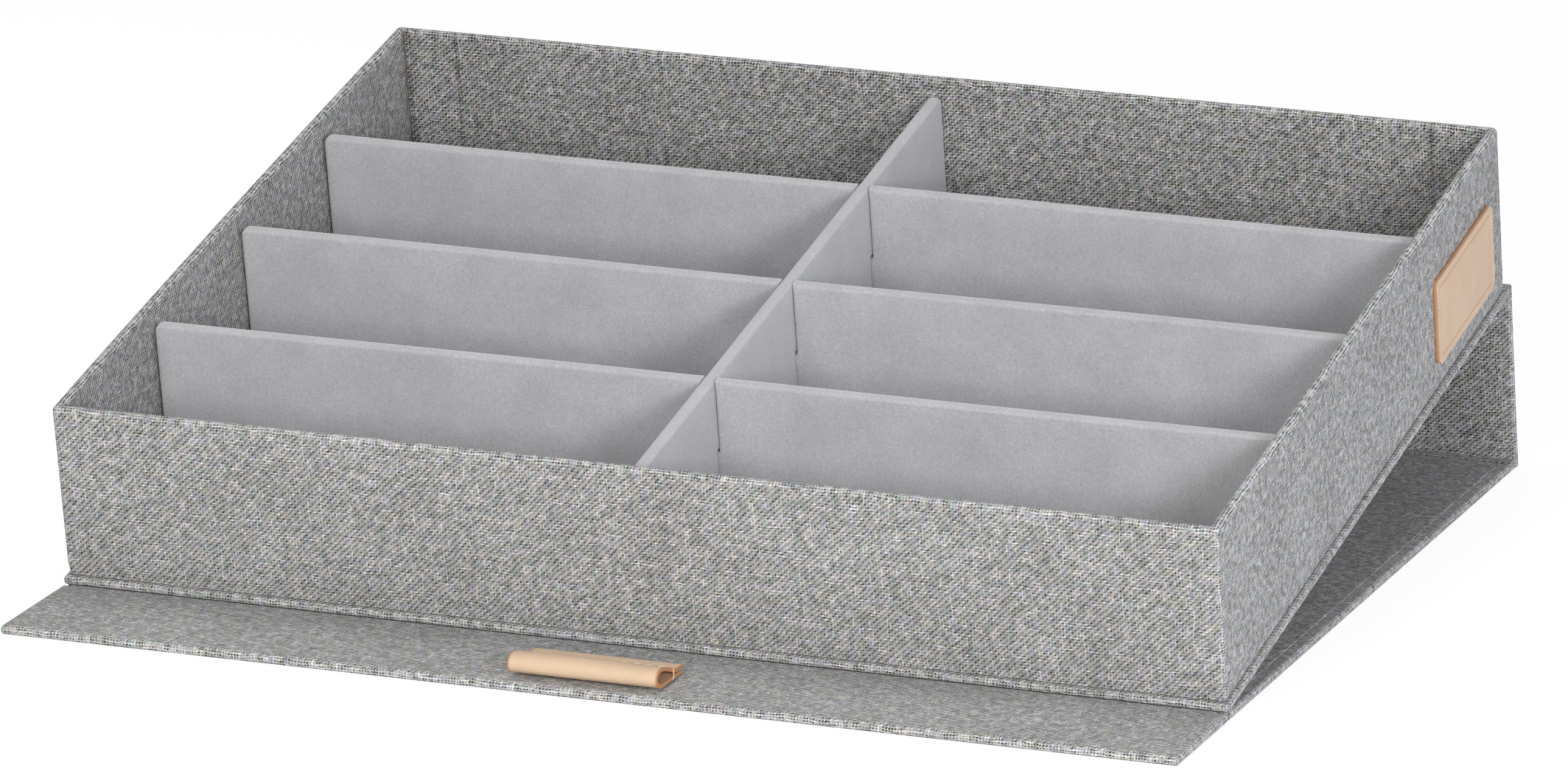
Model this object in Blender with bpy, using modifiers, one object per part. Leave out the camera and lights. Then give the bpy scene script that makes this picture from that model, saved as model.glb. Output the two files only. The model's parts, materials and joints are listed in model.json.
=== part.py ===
"""Glasses box: a cloth-covered tray with eight lined compartments on a four-board folding cover.

The cover is one chain of boards joined by cloth hinges: base board, spine board, lid board and
front flap. Here it stands as a display: the cover is folded back under the tray, the lid lies on
the table, the spine props up the rear of the tray, and the flap lies flat in front.
Metres, +Z up, +X to the right, +Y to the rear. The origin is under the middle of the object.
"""
import math

import bmesh
import bpy
from mathutils import Matrix

MM = 0.001

# Tray
TRAY_WIDTH = 330.0 * MM
TRAY_DEPTH = 254.0 * MM
WALL_HEIGHT = 50.8 * MM
WALL_THICKNESS = 3.0 * MM
WALL_CORNER_RADIUS = 1.5 * MM
MITRE_GAP = 0.3 * MM
BOTTOM_THICKNESS = 2.0 * MM
LINING_THICKNESS = 1.2 * MM

# Cover boards
BOARD_THICKNESS = 2.6 * MM
BOARD_EDGE_RADIUS = 1.0 * MM
SPINE_EDGE_RADIUS = 1.2 * MM
BASE_PROJECTION = 1.0 * MM
FLAP_LENGTH = 41.9 * MM
FACING_THICKNESS = 0.3 * MM
FACING_SIDE_INSET = 3.4 * MM

# Clearances
HINGE_GAP = 0.6 * MM
LID_CLEARANCE = 0.6 * MM
REST_GAP = 0.3 * MM
NEST_CLEARANCE = 0.1 * MM
GLUE_GAP = 0.1 * MM
FIT_GAP = 0.3 * MM

# Hinge cloths
CLOTH_THICKNESS = 0.4 * MM
CLOTH_LAP = 3.0 * MM
CLOTH_BEND_RADIUS = 1.5 * MM
CLOTH_END_INSET = 0.4 * MM

# Dividers
DIVIDER_THICKNESS = 3.6 * MM
DIVIDER_DROP = 4.9 * MM
DIVIDER_CORNER_RADIUS = 2.0 * MM
DIVIDER_EDGE_RADIUS = 0.8 * MM
SLOT_CLEARANCE = 0.25 * MM

# Pull tab
TAB_WIDTH = 42.0 * MM
TAB_LENGTH = 20.0 * MM
TAB_LOOP_HEIGHT = 6.5 * MM
TAB_THICKNESS = 1.4 * MM
TAB_SETBACK = 2.4 * MM
TAB_PINCH_GAP = 0.3 * MM
THREAD_DIAMETER = 0.45 * MM
STITCH_LENGTH = 3.5 * MM
STITCH_MARGIN = 2.0 * MM

# Label on the right wall
LABEL_LENGTH = 53.5 * MM
LABEL_HEIGHT = 25.5 * MM
LABEL_THICKNESS = 1.4 * MM
LABEL_CORNER_RADIUS = 2.5 * MM
LABEL_FROM_REAR = 13.0 * MM
LABEL_ABOVE_BASE = 7.8 * MM
LABEL_EDGE_RADIUS = 0.3 * MM

CUT_OVERRUN = 2.0 * MM

# Sizes that follow from those above
COVER_WIDTH = TRAY_WIDTH + 2 * BASE_PROJECTION
BASE_DEPTH = TRAY_DEPTH + 2 * BASE_PROJECTION
RIM_LEVEL = BOARD_THICKNESS + WALL_HEIGHT
SPINE_HEIGHT = RIM_LEVEL + LID_CLEARANCE + BOARD_THICKNESS
HALF_BOARD = BOARD_THICKNESS / 2
SPINE_AXIS_DEPTH = BASE_DEPTH + HINGE_GAP + HALF_BOARD
SPINE_AXIS_SPAN = SPINE_HEIGHT - BOARD_THICKNESS
LID_REACH = SPINE_AXIS_DEPTH + BOARD_THICKNESS
# The groove between lid and flap takes the lid's thickness when the box is closed. When it stands
# open, the base board's front edge nests there and clears the cloth on the groove's front side.
CORNER_REACH = math.hypot(SPINE_AXIS_DEPTH, SPINE_HEIGHT - BOARD_THICKNESS - HALF_BOARD)
NEST_REACH = CORNER_REACH + NEST_CLEARANCE + CLOTH_THICKNESS + GLUE_GAP
FLAP_START = max(BOARD_THICKNESS + HINGE_GAP, NEST_REACH - LID_REACH)
WALL_FOOT = BOARD_THICKNESS + GLUE_GAP
BOTTOM_TOP = BOARD_THICKNESS + GLUE_GAP + BOTTOM_THICKNESS
LINING_TOP = BOTTOM_TOP + GLUE_GAP + LINING_THICKNESS
DIVIDER_TOP = RIM_LEVEL - DIVIDER_DROP
DIVIDER_FOOT = LINING_TOP + GLUE_GAP
DIVIDER_MIDDLE = (DIVIDER_FOOT + DIVIDER_TOP) / 2
INNER_WIDTH = TRAY_WIDTH - 2 * WALL_THICKNESS
INNER_DEPTH = TRAY_DEPTH - 2 * WALL_THICKNESS
FACING_LIFT = GLUE_GAP + FACING_THICKNESS
CLOTH_REACH = CLOTH_BEND_RADIUS + CLOTH_LAP
FACING_HINGE_INSET = CLOTH_REACH + BOARD_EDGE_RADIUS + FIT_GAP

# The tray leans back until its underside rests on the lid's front edge.
EDGE_REACH = LID_REACH - BOARD_EDGE_RADIUS
UNDERSIDE_RISE = SPINE_HEIGHT - BOARD_THICKNESS - HALF_BOARD - REST_GAP
TILT = math.asin(UNDERSIDE_RISE / math.hypot(EDGE_REACH, HALF_BOARD)) - math.atan2(HALF_BOARD, EDGE_REACH)

# Front and rear of the whole, measured from the lid's front end
FRONT_END = -FLAP_START - FLAP_LENGTH
SPINE_CORNER = HALF_BOARD - SPINE_EDGE_RADIUS
REAR_END = LID_REACH + SPINE_CORNER * (math.cos(TILT) + math.sin(TILT)) + SPINE_EDGE_RADIUS
LID_AXIS_Y = LID_REACH - (FRONT_END + REAR_END) / 2
LABEL_FACE = TRAY_WIDTH / 2 + GLUE_GAP + LABEL_THICKNESS
MIDDLE_X = (COVER_WIDTH / 2 - max(LABEL_FACE, COVER_WIDTH / 2)) / 2

CROSS_DIVIDERS = ("cross_divider_front", "cross_divider_middle", "cross_divider_rear")

# The tab's middle line: distance behind the fold as a share of the tab's length, height as a share
# of the loop's height. It runs from the lower tail round the fold, and then to the upper tail,
# whose heights count from the top of the lower one.
TAB_LOOP_SHARES = (
    (0.900, 0.115),
    (0.750, 0.150),
    (0.450, 0.150),
    (0.200, 0.170),
    (0.070, 0.320),
    (0.035, 0.560),
    (0.080, 0.790),
    (0.190, 0.890),
    (0.330, 0.820),
    (0.540, 0.600),
)
TAB_TAIL_SHARES = (
    (0.750, 0.150),
    (0.985, 0.120),
)


def clear_scene():
    """Remove every object that the file holds."""
    for obj in list(bpy.data.objects):
        bpy.data.objects.remove(obj, do_unlink=True)


def new_collection(name):
    """A collection linked to the scene."""
    group = bpy.data.collections.new(name)
    bpy.context.scene.collection.children.link(group)
    return group


def material(name, colour, roughness, sheen=0.0):
    """One Principled material; the colour is linear."""
    mat = bpy.data.materials.new(name)
    mat.use_nodes = True
    shader = mat.node_tree.nodes["Principled BSDF"]
    shader.inputs["Base Color"].default_value = (*colour, 1.0)
    shader.inputs["Roughness"].default_value = roughness
    shader.inputs["Metallic"].default_value = 0.0
    shader.inputs["Sheen Weight"].default_value = sheen
    return mat


def add_object(name, data, group, parent=None, mat=None):
    """An object in its collection, hung on its parent."""
    obj = bpy.data.objects.new(name, data)
    group.objects.link(obj)
    obj.parent = parent
    if mat:
        data.materials.append(mat)
    return obj


def add_axis(name, group, parent, location, turn):
    """An empty that stands on a hinge axis, turned about X."""
    axis = add_object(name, None, group, parent)
    axis.location = location
    axis.rotation_euler = (turn, 0.0, 0.0)
    axis.empty_display_size = BOARD_THICKNESS
    return axis


def mesh_from(name, bm):
    """Turn a bmesh into mesh data with smooth round faces and sharp corners."""
    bmesh.ops.recalc_face_normals(bm, faces=bm.faces)
    mesh = bpy.data.meshes.new(name)
    bm.to_mesh(mesh)
    bm.free()
    mesh.shade_smooth()
    mesh.set_sharp_from_angle(angle=math.radians(40))
    return mesh


def block_bmesh(x, y, z):
    """A rectangular block between the two ends given for each axis."""
    bm = bmesh.new()
    bmesh.ops.create_cube(bm, size=1.0)
    spans = [high - low for low, high in (x, y, z)]
    middles = [(high + low) / 2 for low, high in (x, y, z)]
    bmesh.ops.scale(bm, vec=spans, verts=bm.verts)
    bmesh.ops.translate(bm, vec=middles, verts=bm.verts)
    return bm


def soften(obj, radius, segments):
    """Round the edges of a block."""
    bevel = obj.modifiers.new("rounded edges", "BEVEL")
    bevel.width = radius
    bevel.segments = segments
    bevel.limit_method = "ANGLE"
    bevel.angle_limit = math.radians(50)


def add_board(name, group, parent, mat, x, y, z, radius):
    """A board with rounded cloth-wrapped edges."""
    obj = add_object(name, mesh_from(name, block_bmesh(x, y, z)), group, parent, mat)
    soften(obj, radius, 4)
    return obj


def add_sheet(name, group, parent, mat, x, y, z):
    """A thin glued sheet with square edges."""
    return add_object(name, mesh_from(name, block_bmesh(x, y, z)), group, parent, mat)


def add_wall(name, group, parent, mat, length, distance, turn):
    """One tray wall: a round-topped section carried from mitre to mitre round half of each corner.

    The section is drawn as depth behind the outer face and height. Behind the corner's radius the
    inner face meets its neighbour in a sharp corner. The wall is made along X and then turned
    about the tray's middle, which lies at `distance` behind its outer face.
    """
    rim = WALL_THICKNESS / 2
    section = [(0.0, WALL_FOOT), (0.0, RIM_LEVEL - rim)]
    arc_steps = 8
    for step in range(1, arc_steps):
        angle = math.pi * step / arc_steps
        section.append((rim - rim * math.cos(angle), RIM_LEVEL - rim + rim * math.sin(angle)))
    section += [(WALL_THICKNESS, RIM_LEVEL - rim), (WALL_THICKNESS, WALL_FOOT)]

    half = length / 2 - MITRE_GAP / math.sqrt(2)
    corner_steps = 3
    rings = []
    for side in (-1, 1):
        angles = [math.radians(45) * (1 - step / corner_steps) for step in range(corner_steps + 1)]
        if side > 0:
            angles.reverse()
        for angle in angles:
            ring = []
            for depth, height in section:
                radius = max(WALL_CORNER_RADIUS - depth, 0.0)
                along = max(WALL_CORNER_RADIUS - radius * math.sin(angle), depth)
                inward = max(WALL_CORNER_RADIUS, depth) - radius * math.cos(angle)
                ring.append((side * (half - along), inward - distance, height))
            rings.append(ring)

    bm = bmesh.new()
    verts = [[bm.verts.new(point) for point in ring] for ring in rings]
    count = len(section)
    for ring_a, ring_b in zip(verts, verts[1:]):
        for i in range(count):
            j = (i + 1) % count
            bm.faces.new((ring_a[i], ring_a[j], ring_b[j], ring_b[i]))
    bm.faces.new(verts[0])
    bm.faces.new(verts[-1][::-1])
    bmesh.ops.remove_doubles(bm, verts=bm.verts, dist=MM / 10000)
    bmesh.ops.rotate(bm, verts=bm.verts, cent=(0, 0, 0), matrix=Matrix.Rotation(turn, 3, "Z"))
    bmesh.ops.translate(bm, verts=bm.verts, vec=(0.0, BASE_DEPTH / 2, 0.0))
    return add_object(name, mesh_from(name, bm), group, parent, mat)


def add_cutter(name, group, parent, x, y, z):
    """A block that cuts a slot; it is not part of the object."""
    cutter = add_object(name, mesh_from(name, block_bmesh(x, y, z)), group, parent)
    cutter.display_type = "WIRE"
    cutter.hide_render = True
    return cutter


def add_divider(name, group, parent, mat, x, y, cutters):
    """A lined divider: round top corners, soft edges, and half-lap slots where the others cross."""
    bm = block_bmesh(x, y, (DIVIDER_FOOT, DIVIDER_TOP))
    long_axis = 0 if x[1] - x[0] > y[1] - y[0] else 1
    top_corners = []
    for edge in bm.edges:
        span = edge.verts[0].co - edge.verts[1].co
        at_top = min(vert.co.z for vert in edge.verts) > DIVIDER_MIDDLE
        if at_top and abs(span[long_axis]) < MM / 1000:
            top_corners.append(edge)
    bmesh.ops.bevel(bm, geom=top_corners, offset=DIVIDER_CORNER_RADIUS, segments=4, profile=0.5, affect="EDGES")
    obj = add_object(name, mesh_from(name, bm), group, parent, mat)
    soften(obj, DIVIDER_EDGE_RADIUS, 3)
    for cutter in cutters:
        slot = obj.modifiers.new("slot", "BOOLEAN")
        slot.operation = "DIFFERENCE"
        slot.solver = "EXACT"
        slot.object = cutter
    return obj


def add_ribbon(name, group, parent, mat, line, width, thickness):
    """A strip of even thickness: a line in the Y-Z plane drawn out along X and thickened."""
    bm = bmesh.new()
    left = [bm.verts.new((-width / 2, y, z)) for y, z in line]
    right = [bm.verts.new((width / 2, y, z)) for y, z in line]
    for i in range(len(line) - 1):
        bm.faces.new((left[i], left[i + 1], right[i + 1], right[i]))
    obj = add_object(name, mesh_from(name, bm), group, parent, mat)
    shell = obj.modifiers.new("thickness", "SOLIDIFY")
    shell.thickness = thickness
    shell.offset = 0.0
    shell.use_even_offset = True
    return obj


def round_corner(before, corner, after, radius, steps):
    """Points of an arc that rounds the corner between two straight runs."""
    def unit(a, b):
        length = math.hypot(b[0] - a[0], b[1] - a[1])
        return ((b[0] - a[0]) / length, (b[1] - a[1]) / length)

    first = unit(corner, before)
    second = unit(corner, after)
    half = math.acos(first[0] * second[0] + first[1] * second[1]) / 2
    back = radius / math.tan(half)
    bisector = unit((0.0, 0.0), (first[0] + second[0], first[1] + second[1]))
    centre = [corner[k] + bisector[k] * radius / math.sin(half) for k in (0, 1)]
    start = math.atan2(corner[1] + first[1] * back - centre[1], corner[0] + first[0] * back - centre[0])
    end = math.atan2(corner[1] + second[1] * back - centre[1], corner[0] + second[0] * back - centre[0])
    sweep = (end - start + math.pi) % (2 * math.pi) - math.pi
    points = []
    for step in range(steps + 1):
        angle = start + sweep * step / steps
        points.append((centre[0] + radius * math.cos(angle), centre[1] + radius * math.sin(angle)))
    return points


def smooth_line(points, steps):
    """A Catmull-Rom curve through the points."""
    padded = [points[0]] + list(points) + [points[-1]]
    line = []
    for i in range(1, len(padded) - 2):
        a, b, c, d = padded[i - 1:i + 3]
        for step in range(steps):
            t = step / steps
            line.append(tuple(
                0.5 * (2 * b[k] + (c[k] - a[k]) * t + (2 * a[k] - 5 * b[k] + 4 * c[k] - d[k]) * t ** 2
                       + (3 * b[k] - a[k] - 3 * c[k] + d[k]) * t ** 3) for k in (0, 1)))
    line.append(points[-1])
    return line


def build_tray(group, cutter_group, frame, linen, velour, card):
    """The base board, the tray's bottom, lining and walls, and the four dividers."""
    half_cover = COVER_WIDTH / 2
    add_board("base_board", group, frame, linen, (-half_cover, half_cover), (0.0, BASE_DEPTH),
              (0.0, BOARD_THICKNESS), BOARD_EDGE_RADIUS)
    half_facing = half_cover - FACING_SIDE_INSET
    add_sheet("base_facing", group, frame, linen, (-half_facing, half_facing),
              (FACING_HINGE_INSET, BASE_DEPTH - FACING_HINGE_INSET), (-FACING_LIFT, -GLUE_GAP))

    front = BASE_PROJECTION + WALL_THICKNESS
    rear = front + INNER_DEPTH
    half_inner = INNER_WIDTH / 2
    add_sheet("tray_bottom", group, frame, card, (-half_inner + FIT_GAP, half_inner - FIT_GAP),
              (front + FIT_GAP, rear - FIT_GAP), (BOARD_THICKNESS + GLUE_GAP, BOTTOM_TOP))
    add_sheet("tray_floor_lining", group, frame, velour, (-half_inner + FIT_GAP, half_inner - FIT_GAP),
              (front + FIT_GAP, rear - FIT_GAP), (BOTTOM_TOP + GLUE_GAP, LINING_TOP))

    quarter = math.pi / 2
    add_wall("tray_front_wall", group, frame, linen, TRAY_WIDTH, TRAY_DEPTH / 2, 0.0)
    add_wall("tray_right_wall", group, frame, linen, TRAY_DEPTH, TRAY_WIDTH / 2, quarter)
    add_wall("tray_rear_wall", group, frame, linen, TRAY_WIDTH, TRAY_DEPTH / 2, 2 * quarter)
    add_wall("tray_left_wall", group, frame, linen, TRAY_DEPTH, TRAY_WIDTH / 2, -quarter)

    half_divider = DIVIDER_THICKNESS / 2
    half_slot = half_divider + SLOT_CLEARANCE
    pitch = INNER_DEPTH / (len(CROSS_DIVIDERS) + 1)
    slot_below = (DIVIDER_FOOT - CUT_OVERRUN, DIVIDER_MIDDLE + SLOT_CLEARANCE)
    slot_above = (DIVIDER_MIDDLE - SLOT_CLEARANCE, DIVIDER_TOP + CUT_OVERRUN)
    long_slots = []
    for number, name in enumerate(CROSS_DIVIDERS, 1):
        middle = front + pitch * number
        cross_slot = add_cutter(name + "_slot", cutter_group, frame, (-half_slot, half_slot),
                                (middle - half_divider - CUT_OVERRUN, middle + half_divider + CUT_OVERRUN), slot_above)
        add_divider(name, group, frame, velour, (-half_inner + FIT_GAP, half_inner - FIT_GAP),
                    (middle - half_divider, middle + half_divider), [cross_slot])
        long_slots.append(add_cutter("long_divider_slot_" + str(number), cutter_group, frame,
                                     (-half_divider - CUT_OVERRUN, half_divider + CUT_OVERRUN),
                                     (middle - half_slot, middle + half_slot), slot_below))
    add_divider("long_divider", group, frame, velour, (-half_divider, half_divider),
                (front + FIT_GAP, rear - FIT_GAP), long_slots)


def build_label(group, frame, leather):
    """The leather label on the right wall: round corners and softened cut edges; its face is bare."""
    bm = block_bmesh((0.0, LABEL_THICKNESS), (-LABEL_LENGTH / 2, LABEL_LENGTH / 2), (0.0, LABEL_HEIGHT))
    corners = [edge for edge in bm.edges
               if abs(edge.verts[0].co.x - edge.verts[1].co.x) > LABEL_THICKNESS / 2]
    bmesh.ops.bevel(bm, geom=corners, offset=LABEL_CORNER_RADIUS, segments=5, profile=0.5, affect="EDGES")
    label = add_object("side_label", mesh_from("side_label", bm), group, frame, leather)
    soften(label, LABEL_EDGE_RADIUS, 2)
    label.location = (TRAY_WIDTH / 2 + GLUE_GAP, BASE_PROJECTION + TRAY_DEPTH - LABEL_FROM_REAR - LABEL_LENGTH / 2,
                      BOARD_THICKNESS + LABEL_ABOVE_BASE)


def build_cover(group, frame, linen):
    """Spine, lid and flap with their facings, each on the axis that it folds about."""
    half_cover = COVER_WIDTH / 2
    half_facing = half_cover - FACING_SIDE_INSET
    strip_width = COVER_WIDTH - 2 * CLOTH_END_INSET
    across = (-half_cover, half_cover)
    facing_across = (-half_facing, half_facing)

    spine_axis = add_axis("spine_axis", group, frame, (0.0, SPINE_AXIS_DEPTH, HALF_BOARD), 0.0)
    spine_foot = HALF_BOARD - SPINE_HEIGHT
    add_board("spine_board", group, spine_axis, linen, across, (-HALF_BOARD, HALF_BOARD),
              (spine_foot, HALF_BOARD), SPINE_EDGE_RADIUS)
    add_sheet("spine_facing", group, spine_axis, linen, facing_across,
              (-HALF_BOARD - FACING_LIFT, -HALF_BOARD - GLUE_GAP),
              (spine_foot + BOARD_THICKNESS + FACING_HINGE_INSET, -HALF_BOARD - FACING_HINGE_INSET))

    lid_axis = add_axis("lid_axis", group, spine_axis, (0.0, 0.0, -SPINE_AXIS_SPAN), -TILT)
    lid_rear = -HALF_BOARD - HINGE_GAP
    add_board("lid_board", group, lid_axis, linen, across, (-LID_REACH, lid_rear),
              (-HALF_BOARD, HALF_BOARD), BOARD_EDGE_RADIUS)
    add_sheet("lid_facing", group, lid_axis, linen, facing_across,
              (-LID_REACH + FACING_HINGE_INSET, lid_rear - FACING_HINGE_INSET),
              (HALF_BOARD + GLUE_GAP, HALF_BOARD + FACING_LIFT))

    flap_axis = add_axis("flap_axis", group, lid_axis, (0.0, -LID_REACH, HALF_BOARD), 0.0)
    flap_front = -FLAP_START - FLAP_LENGTH
    add_board("flap_board", group, flap_axis, linen, across, (flap_front, -FLAP_START),
              (-BOARD_THICKNESS, 0.0), BOARD_EDGE_RADIUS)
    add_sheet("flap_facing", group, flap_axis, linen, facing_across,
              (flap_front + BOARD_EDGE_RADIUS + FIT_GAP, -FLAP_START - BOARD_EDGE_RADIUS), (GLUE_GAP, FACING_LIFT))

    # Hinge cloth between base and spine: from the foot of the rear wall over the spine's end and
    # down its rear face
    lift = GLUE_GAP + CLOTH_THICKNESS / 2
    over = HALF_BOARD + lift
    wall_face = BASE_PROJECTION + TRAY_DEPTH - SPINE_AXIS_DEPTH
    head = (wall_face + FIT_GAP, over)
    tail = (over, over - CLOTH_REACH)
    bend = round_corner(head, (over, over), tail, CLOTH_BEND_RADIUS, 5)
    add_ribbon("spine_hinge_cloth", group, spine_axis, linen, [head] + bend + [tail], strip_width, CLOTH_THICKNESS)

    # Hinge cloth between spine and lid: lies in the corner between the lid's top and the spine's
    # front face
    lean = (-math.sin(TILT), math.cos(TILT))
    face = (-over * math.cos(TILT), -over * math.sin(TILT))
    rise = (over - face[1]) / lean[1]
    corner = (face[0] + lean[0] * rise, over)
    head = (corner[0] - CLOTH_REACH, over)
    tail = (corner[0] + lean[0] * CLOTH_REACH, corner[1] + lean[1] * CLOTH_REACH)
    bend = round_corner(head, corner, tail, CLOTH_BEND_RADIUS, 5)
    add_ribbon("lid_hinge_cloth", group, lid_axis, linen, [head] + bend + [tail], strip_width, CLOTH_THICKNESS)

    # Hinge cloth between lid and flap: sags into the groove where the tray's front edge nests
    bed = -BOARD_THICKNESS + FIT_GAP + CLOTH_THICKNESS / 2
    side_a = -lift
    side_b = -FLAP_START + lift
    shoulder = -BOARD_EDGE_RADIUS
    groove_radius = (side_a - side_b) / 3
    first = round_corner((side_a, shoulder), (side_a, bed), (side_b, bed), groove_radius, 4)
    second = round_corner((side_a, bed), (side_b, bed), (side_b, shoulder), groove_radius, 4)
    line = [(side_a, shoulder)] + first + second + [(side_b, shoulder)]
    add_ribbon("flap_hinge_cloth", group, flap_axis, linen, line, strip_width, CLOTH_THICKNESS)
    return flap_axis, flap_front


def build_tab(group, flap_axis, flap_front, leather, thread):
    """The leather pull tab: one strip folded forward into a flat loop and stitched at its pinch."""
    fold = flap_front + TAB_SETBACK
    seat = FACING_LIFT + GLUE_GAP
    lower = TAB_THICKNESS / 2
    upper_rise = TAB_THICKNESS + TAB_PINCH_GAP

    def tab_points(shares, rise):
        return [(fold + back * TAB_LENGTH, seat + rise + max(height * TAB_LOOP_HEIGHT, lower)) for back, height in shares]

    tail = tab_points(TAB_TAIL_SHARES, upper_rise)
    line = smooth_line(tab_points(TAB_LOOP_SHARES, 0.0) + tail, 4)
    add_ribbon("pull_tab", group, flap_axis, leather, line, TAB_WIDTH, TAB_THICKNESS)

    stitch_y, stitch_z = tail[0]
    rest = stitch_z + TAB_THICKNESS / 2 + GLUE_GAP + THREAD_DIAMETER / 2
    half_run = TAB_WIDTH / 2 - STITCH_MARGIN
    stitches = round(2 * half_run / STITCH_LENGTH)
    per_stitch = 4
    curve = bpy.data.curves.new("pull_tab_thread", "CURVE")
    curve.dimensions = "3D"
    curve.bevel_depth = THREAD_DIAMETER / 2
    curve.bevel_resolution = 1
    curve.use_fill_caps = True
    spline = curve.splines.new("POLY")
    count = stitches * per_stitch + 1
    spline.points.add(count - 1)
    for i in range(count):
        crown = THREAD_DIAMETER / 2 * math.sin(math.pi * (i % per_stitch) / per_stitch)
        spline.points[i].co = (-half_run + 2 * half_run * i / (count - 1), stitch_y, rest + crown, 1.0)
    add_object("pull_tab_thread", curve, group, flap_axis, thread)


def main():
    clear_scene()
    group = new_collection("glasses_box")
    cutter_group = new_collection("glasses_box_cutters")

    linen = material("cloth_linen", (0.33, 0.33, 0.34), 0.9, 0.2)
    velour = material("velour_grey", (0.42, 0.42, 0.45), 0.95, 0.5)
    card = material("greyboard", (0.25, 0.25, 0.24), 0.9)
    leather = material("leather_tan", (0.80, 0.58, 0.37), 0.55)
    thread = material("thread_cream", (0.80, 0.72, 0.58), 0.7)

    # The tray's frame: X across, Y along the base board from its front edge, Z up from its underside
    hinge_depth = SPINE_AXIS_DEPTH * math.cos(TILT) + SPINE_AXIS_SPAN * math.sin(TILT)
    hinge_drop = SPINE_AXIS_DEPTH * math.sin(TILT) - SPINE_AXIS_SPAN * math.cos(TILT)
    corner_y = LID_AXIS_Y - hinge_depth + HALF_BOARD * math.sin(TILT)
    corner_z = HALF_BOARD - hinge_drop - HALF_BOARD * math.cos(TILT)
    frame = add_axis("tray_frame", group, None, (MIDDLE_X, corner_y, corner_z), TILT)

    build_tray(group, cutter_group, frame, linen, velour, card)
    build_label(group, frame, leather)
    flap_axis, flap_front = build_cover(group, frame, linen)
    build_tab(group, flap_axis, flap_front, leather, thread)


main()
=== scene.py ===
"""Dress the glasses box: linen-look cloth over boards, velour dividers, leather tab and label."""

import json
import math

import bmesh
import bpy
import numpy as np
from bpy.props import FloatProperty, FloatVectorProperty, PointerProperty
from mathutils import Matrix, Vector


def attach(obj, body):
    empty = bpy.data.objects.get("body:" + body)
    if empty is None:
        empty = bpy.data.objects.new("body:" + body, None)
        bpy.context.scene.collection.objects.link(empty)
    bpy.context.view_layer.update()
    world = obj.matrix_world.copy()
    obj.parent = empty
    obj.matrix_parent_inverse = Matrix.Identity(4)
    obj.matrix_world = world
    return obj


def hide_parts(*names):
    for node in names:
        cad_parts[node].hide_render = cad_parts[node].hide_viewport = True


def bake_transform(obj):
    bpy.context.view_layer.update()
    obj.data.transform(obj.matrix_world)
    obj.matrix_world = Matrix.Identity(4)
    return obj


bl_info = {
    "name": "Glasses Box Dressing",
    "version": (1, 0, 0),
    "blender": (4, 5, 0),
    "location": "View3D > Sidebar > Glasses Box",
    "description": "Cloth, velour and leather pieces for a folding glasses box on its packed frame",
    "category": "Object",
}

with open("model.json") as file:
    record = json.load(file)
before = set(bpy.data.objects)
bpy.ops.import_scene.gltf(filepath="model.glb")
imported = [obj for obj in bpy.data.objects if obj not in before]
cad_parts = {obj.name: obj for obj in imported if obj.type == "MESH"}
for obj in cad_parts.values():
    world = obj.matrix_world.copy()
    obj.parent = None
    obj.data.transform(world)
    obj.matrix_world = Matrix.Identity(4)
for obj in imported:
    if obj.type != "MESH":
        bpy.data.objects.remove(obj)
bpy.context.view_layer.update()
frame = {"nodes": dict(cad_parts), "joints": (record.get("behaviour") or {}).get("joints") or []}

MM = 0.001
GLUE = 0.1 * MM  # between two glued faces
FIT = 0.3 * MM  # between two pieces that are slid together
SHARP = math.radians(50)  # edges bent by more than this stay sharp
LEAST_CORNER = 0.35 * MM  # the sharpest corner that cloth or leather takes
SIDES = ("front", "right", "rear", "left")


def linear(code):
    """An sRGB hex value such as "a0b1c2" as a linear colour with alpha."""
    parts = [int(code[i:i + 2], 16) / 255 for i in (0, 2, 4)]
    return tuple(c / 12.92 if c <= 0.04045 else ((c + 0.055) / 1.055) ** 2.4 for c in parts) + (1.0,)


# Settings


def size(label, words, value, low=0.0):
    """A length property in metres whose default is given in millimetres."""
    return FloatProperty(name=label, description=words, default=value * MM, min=low,
                         subtype="DISTANCE", unit="LENGTH")


def tint(label, words, code):
    """A colour property whose default is an sRGB hex value."""
    return FloatVectorProperty(name=label, description=words, default=linear(code)[:3], size=3,
                               min=0.0, max=1.0, subtype="COLOR")


class GLASSESBOX_PG_tray(bpy.types.PropertyGroup):
    """Sizes of the tray and its dividers."""
    width: size("Width", "Outer width of the tray", 330.0)
    depth: size("Depth", "Outer depth of the tray", 254.0)
    wall_height: size("Wall height", "Height of the walls above the base board", 50.8)
    wall: size("Wall", "Thickness of a cloth-covered wall", 3.0)
    corner: size("Corner radius", "Radius of the tray's outer upright corners", 1.6)
    divider: size("Divider", "Thickness of a velour-covered divider", 3.6)
    divider_drop: size("Divider drop", "Height of the rim above the dividers' tops", 4.9)
    divider_corner: size("Divider corner", "Radius of a divider's top corners", 2.2)
    floor_level: size("Floor level", "Top of the floor lining above the base board's underside", 6.0)


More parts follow.
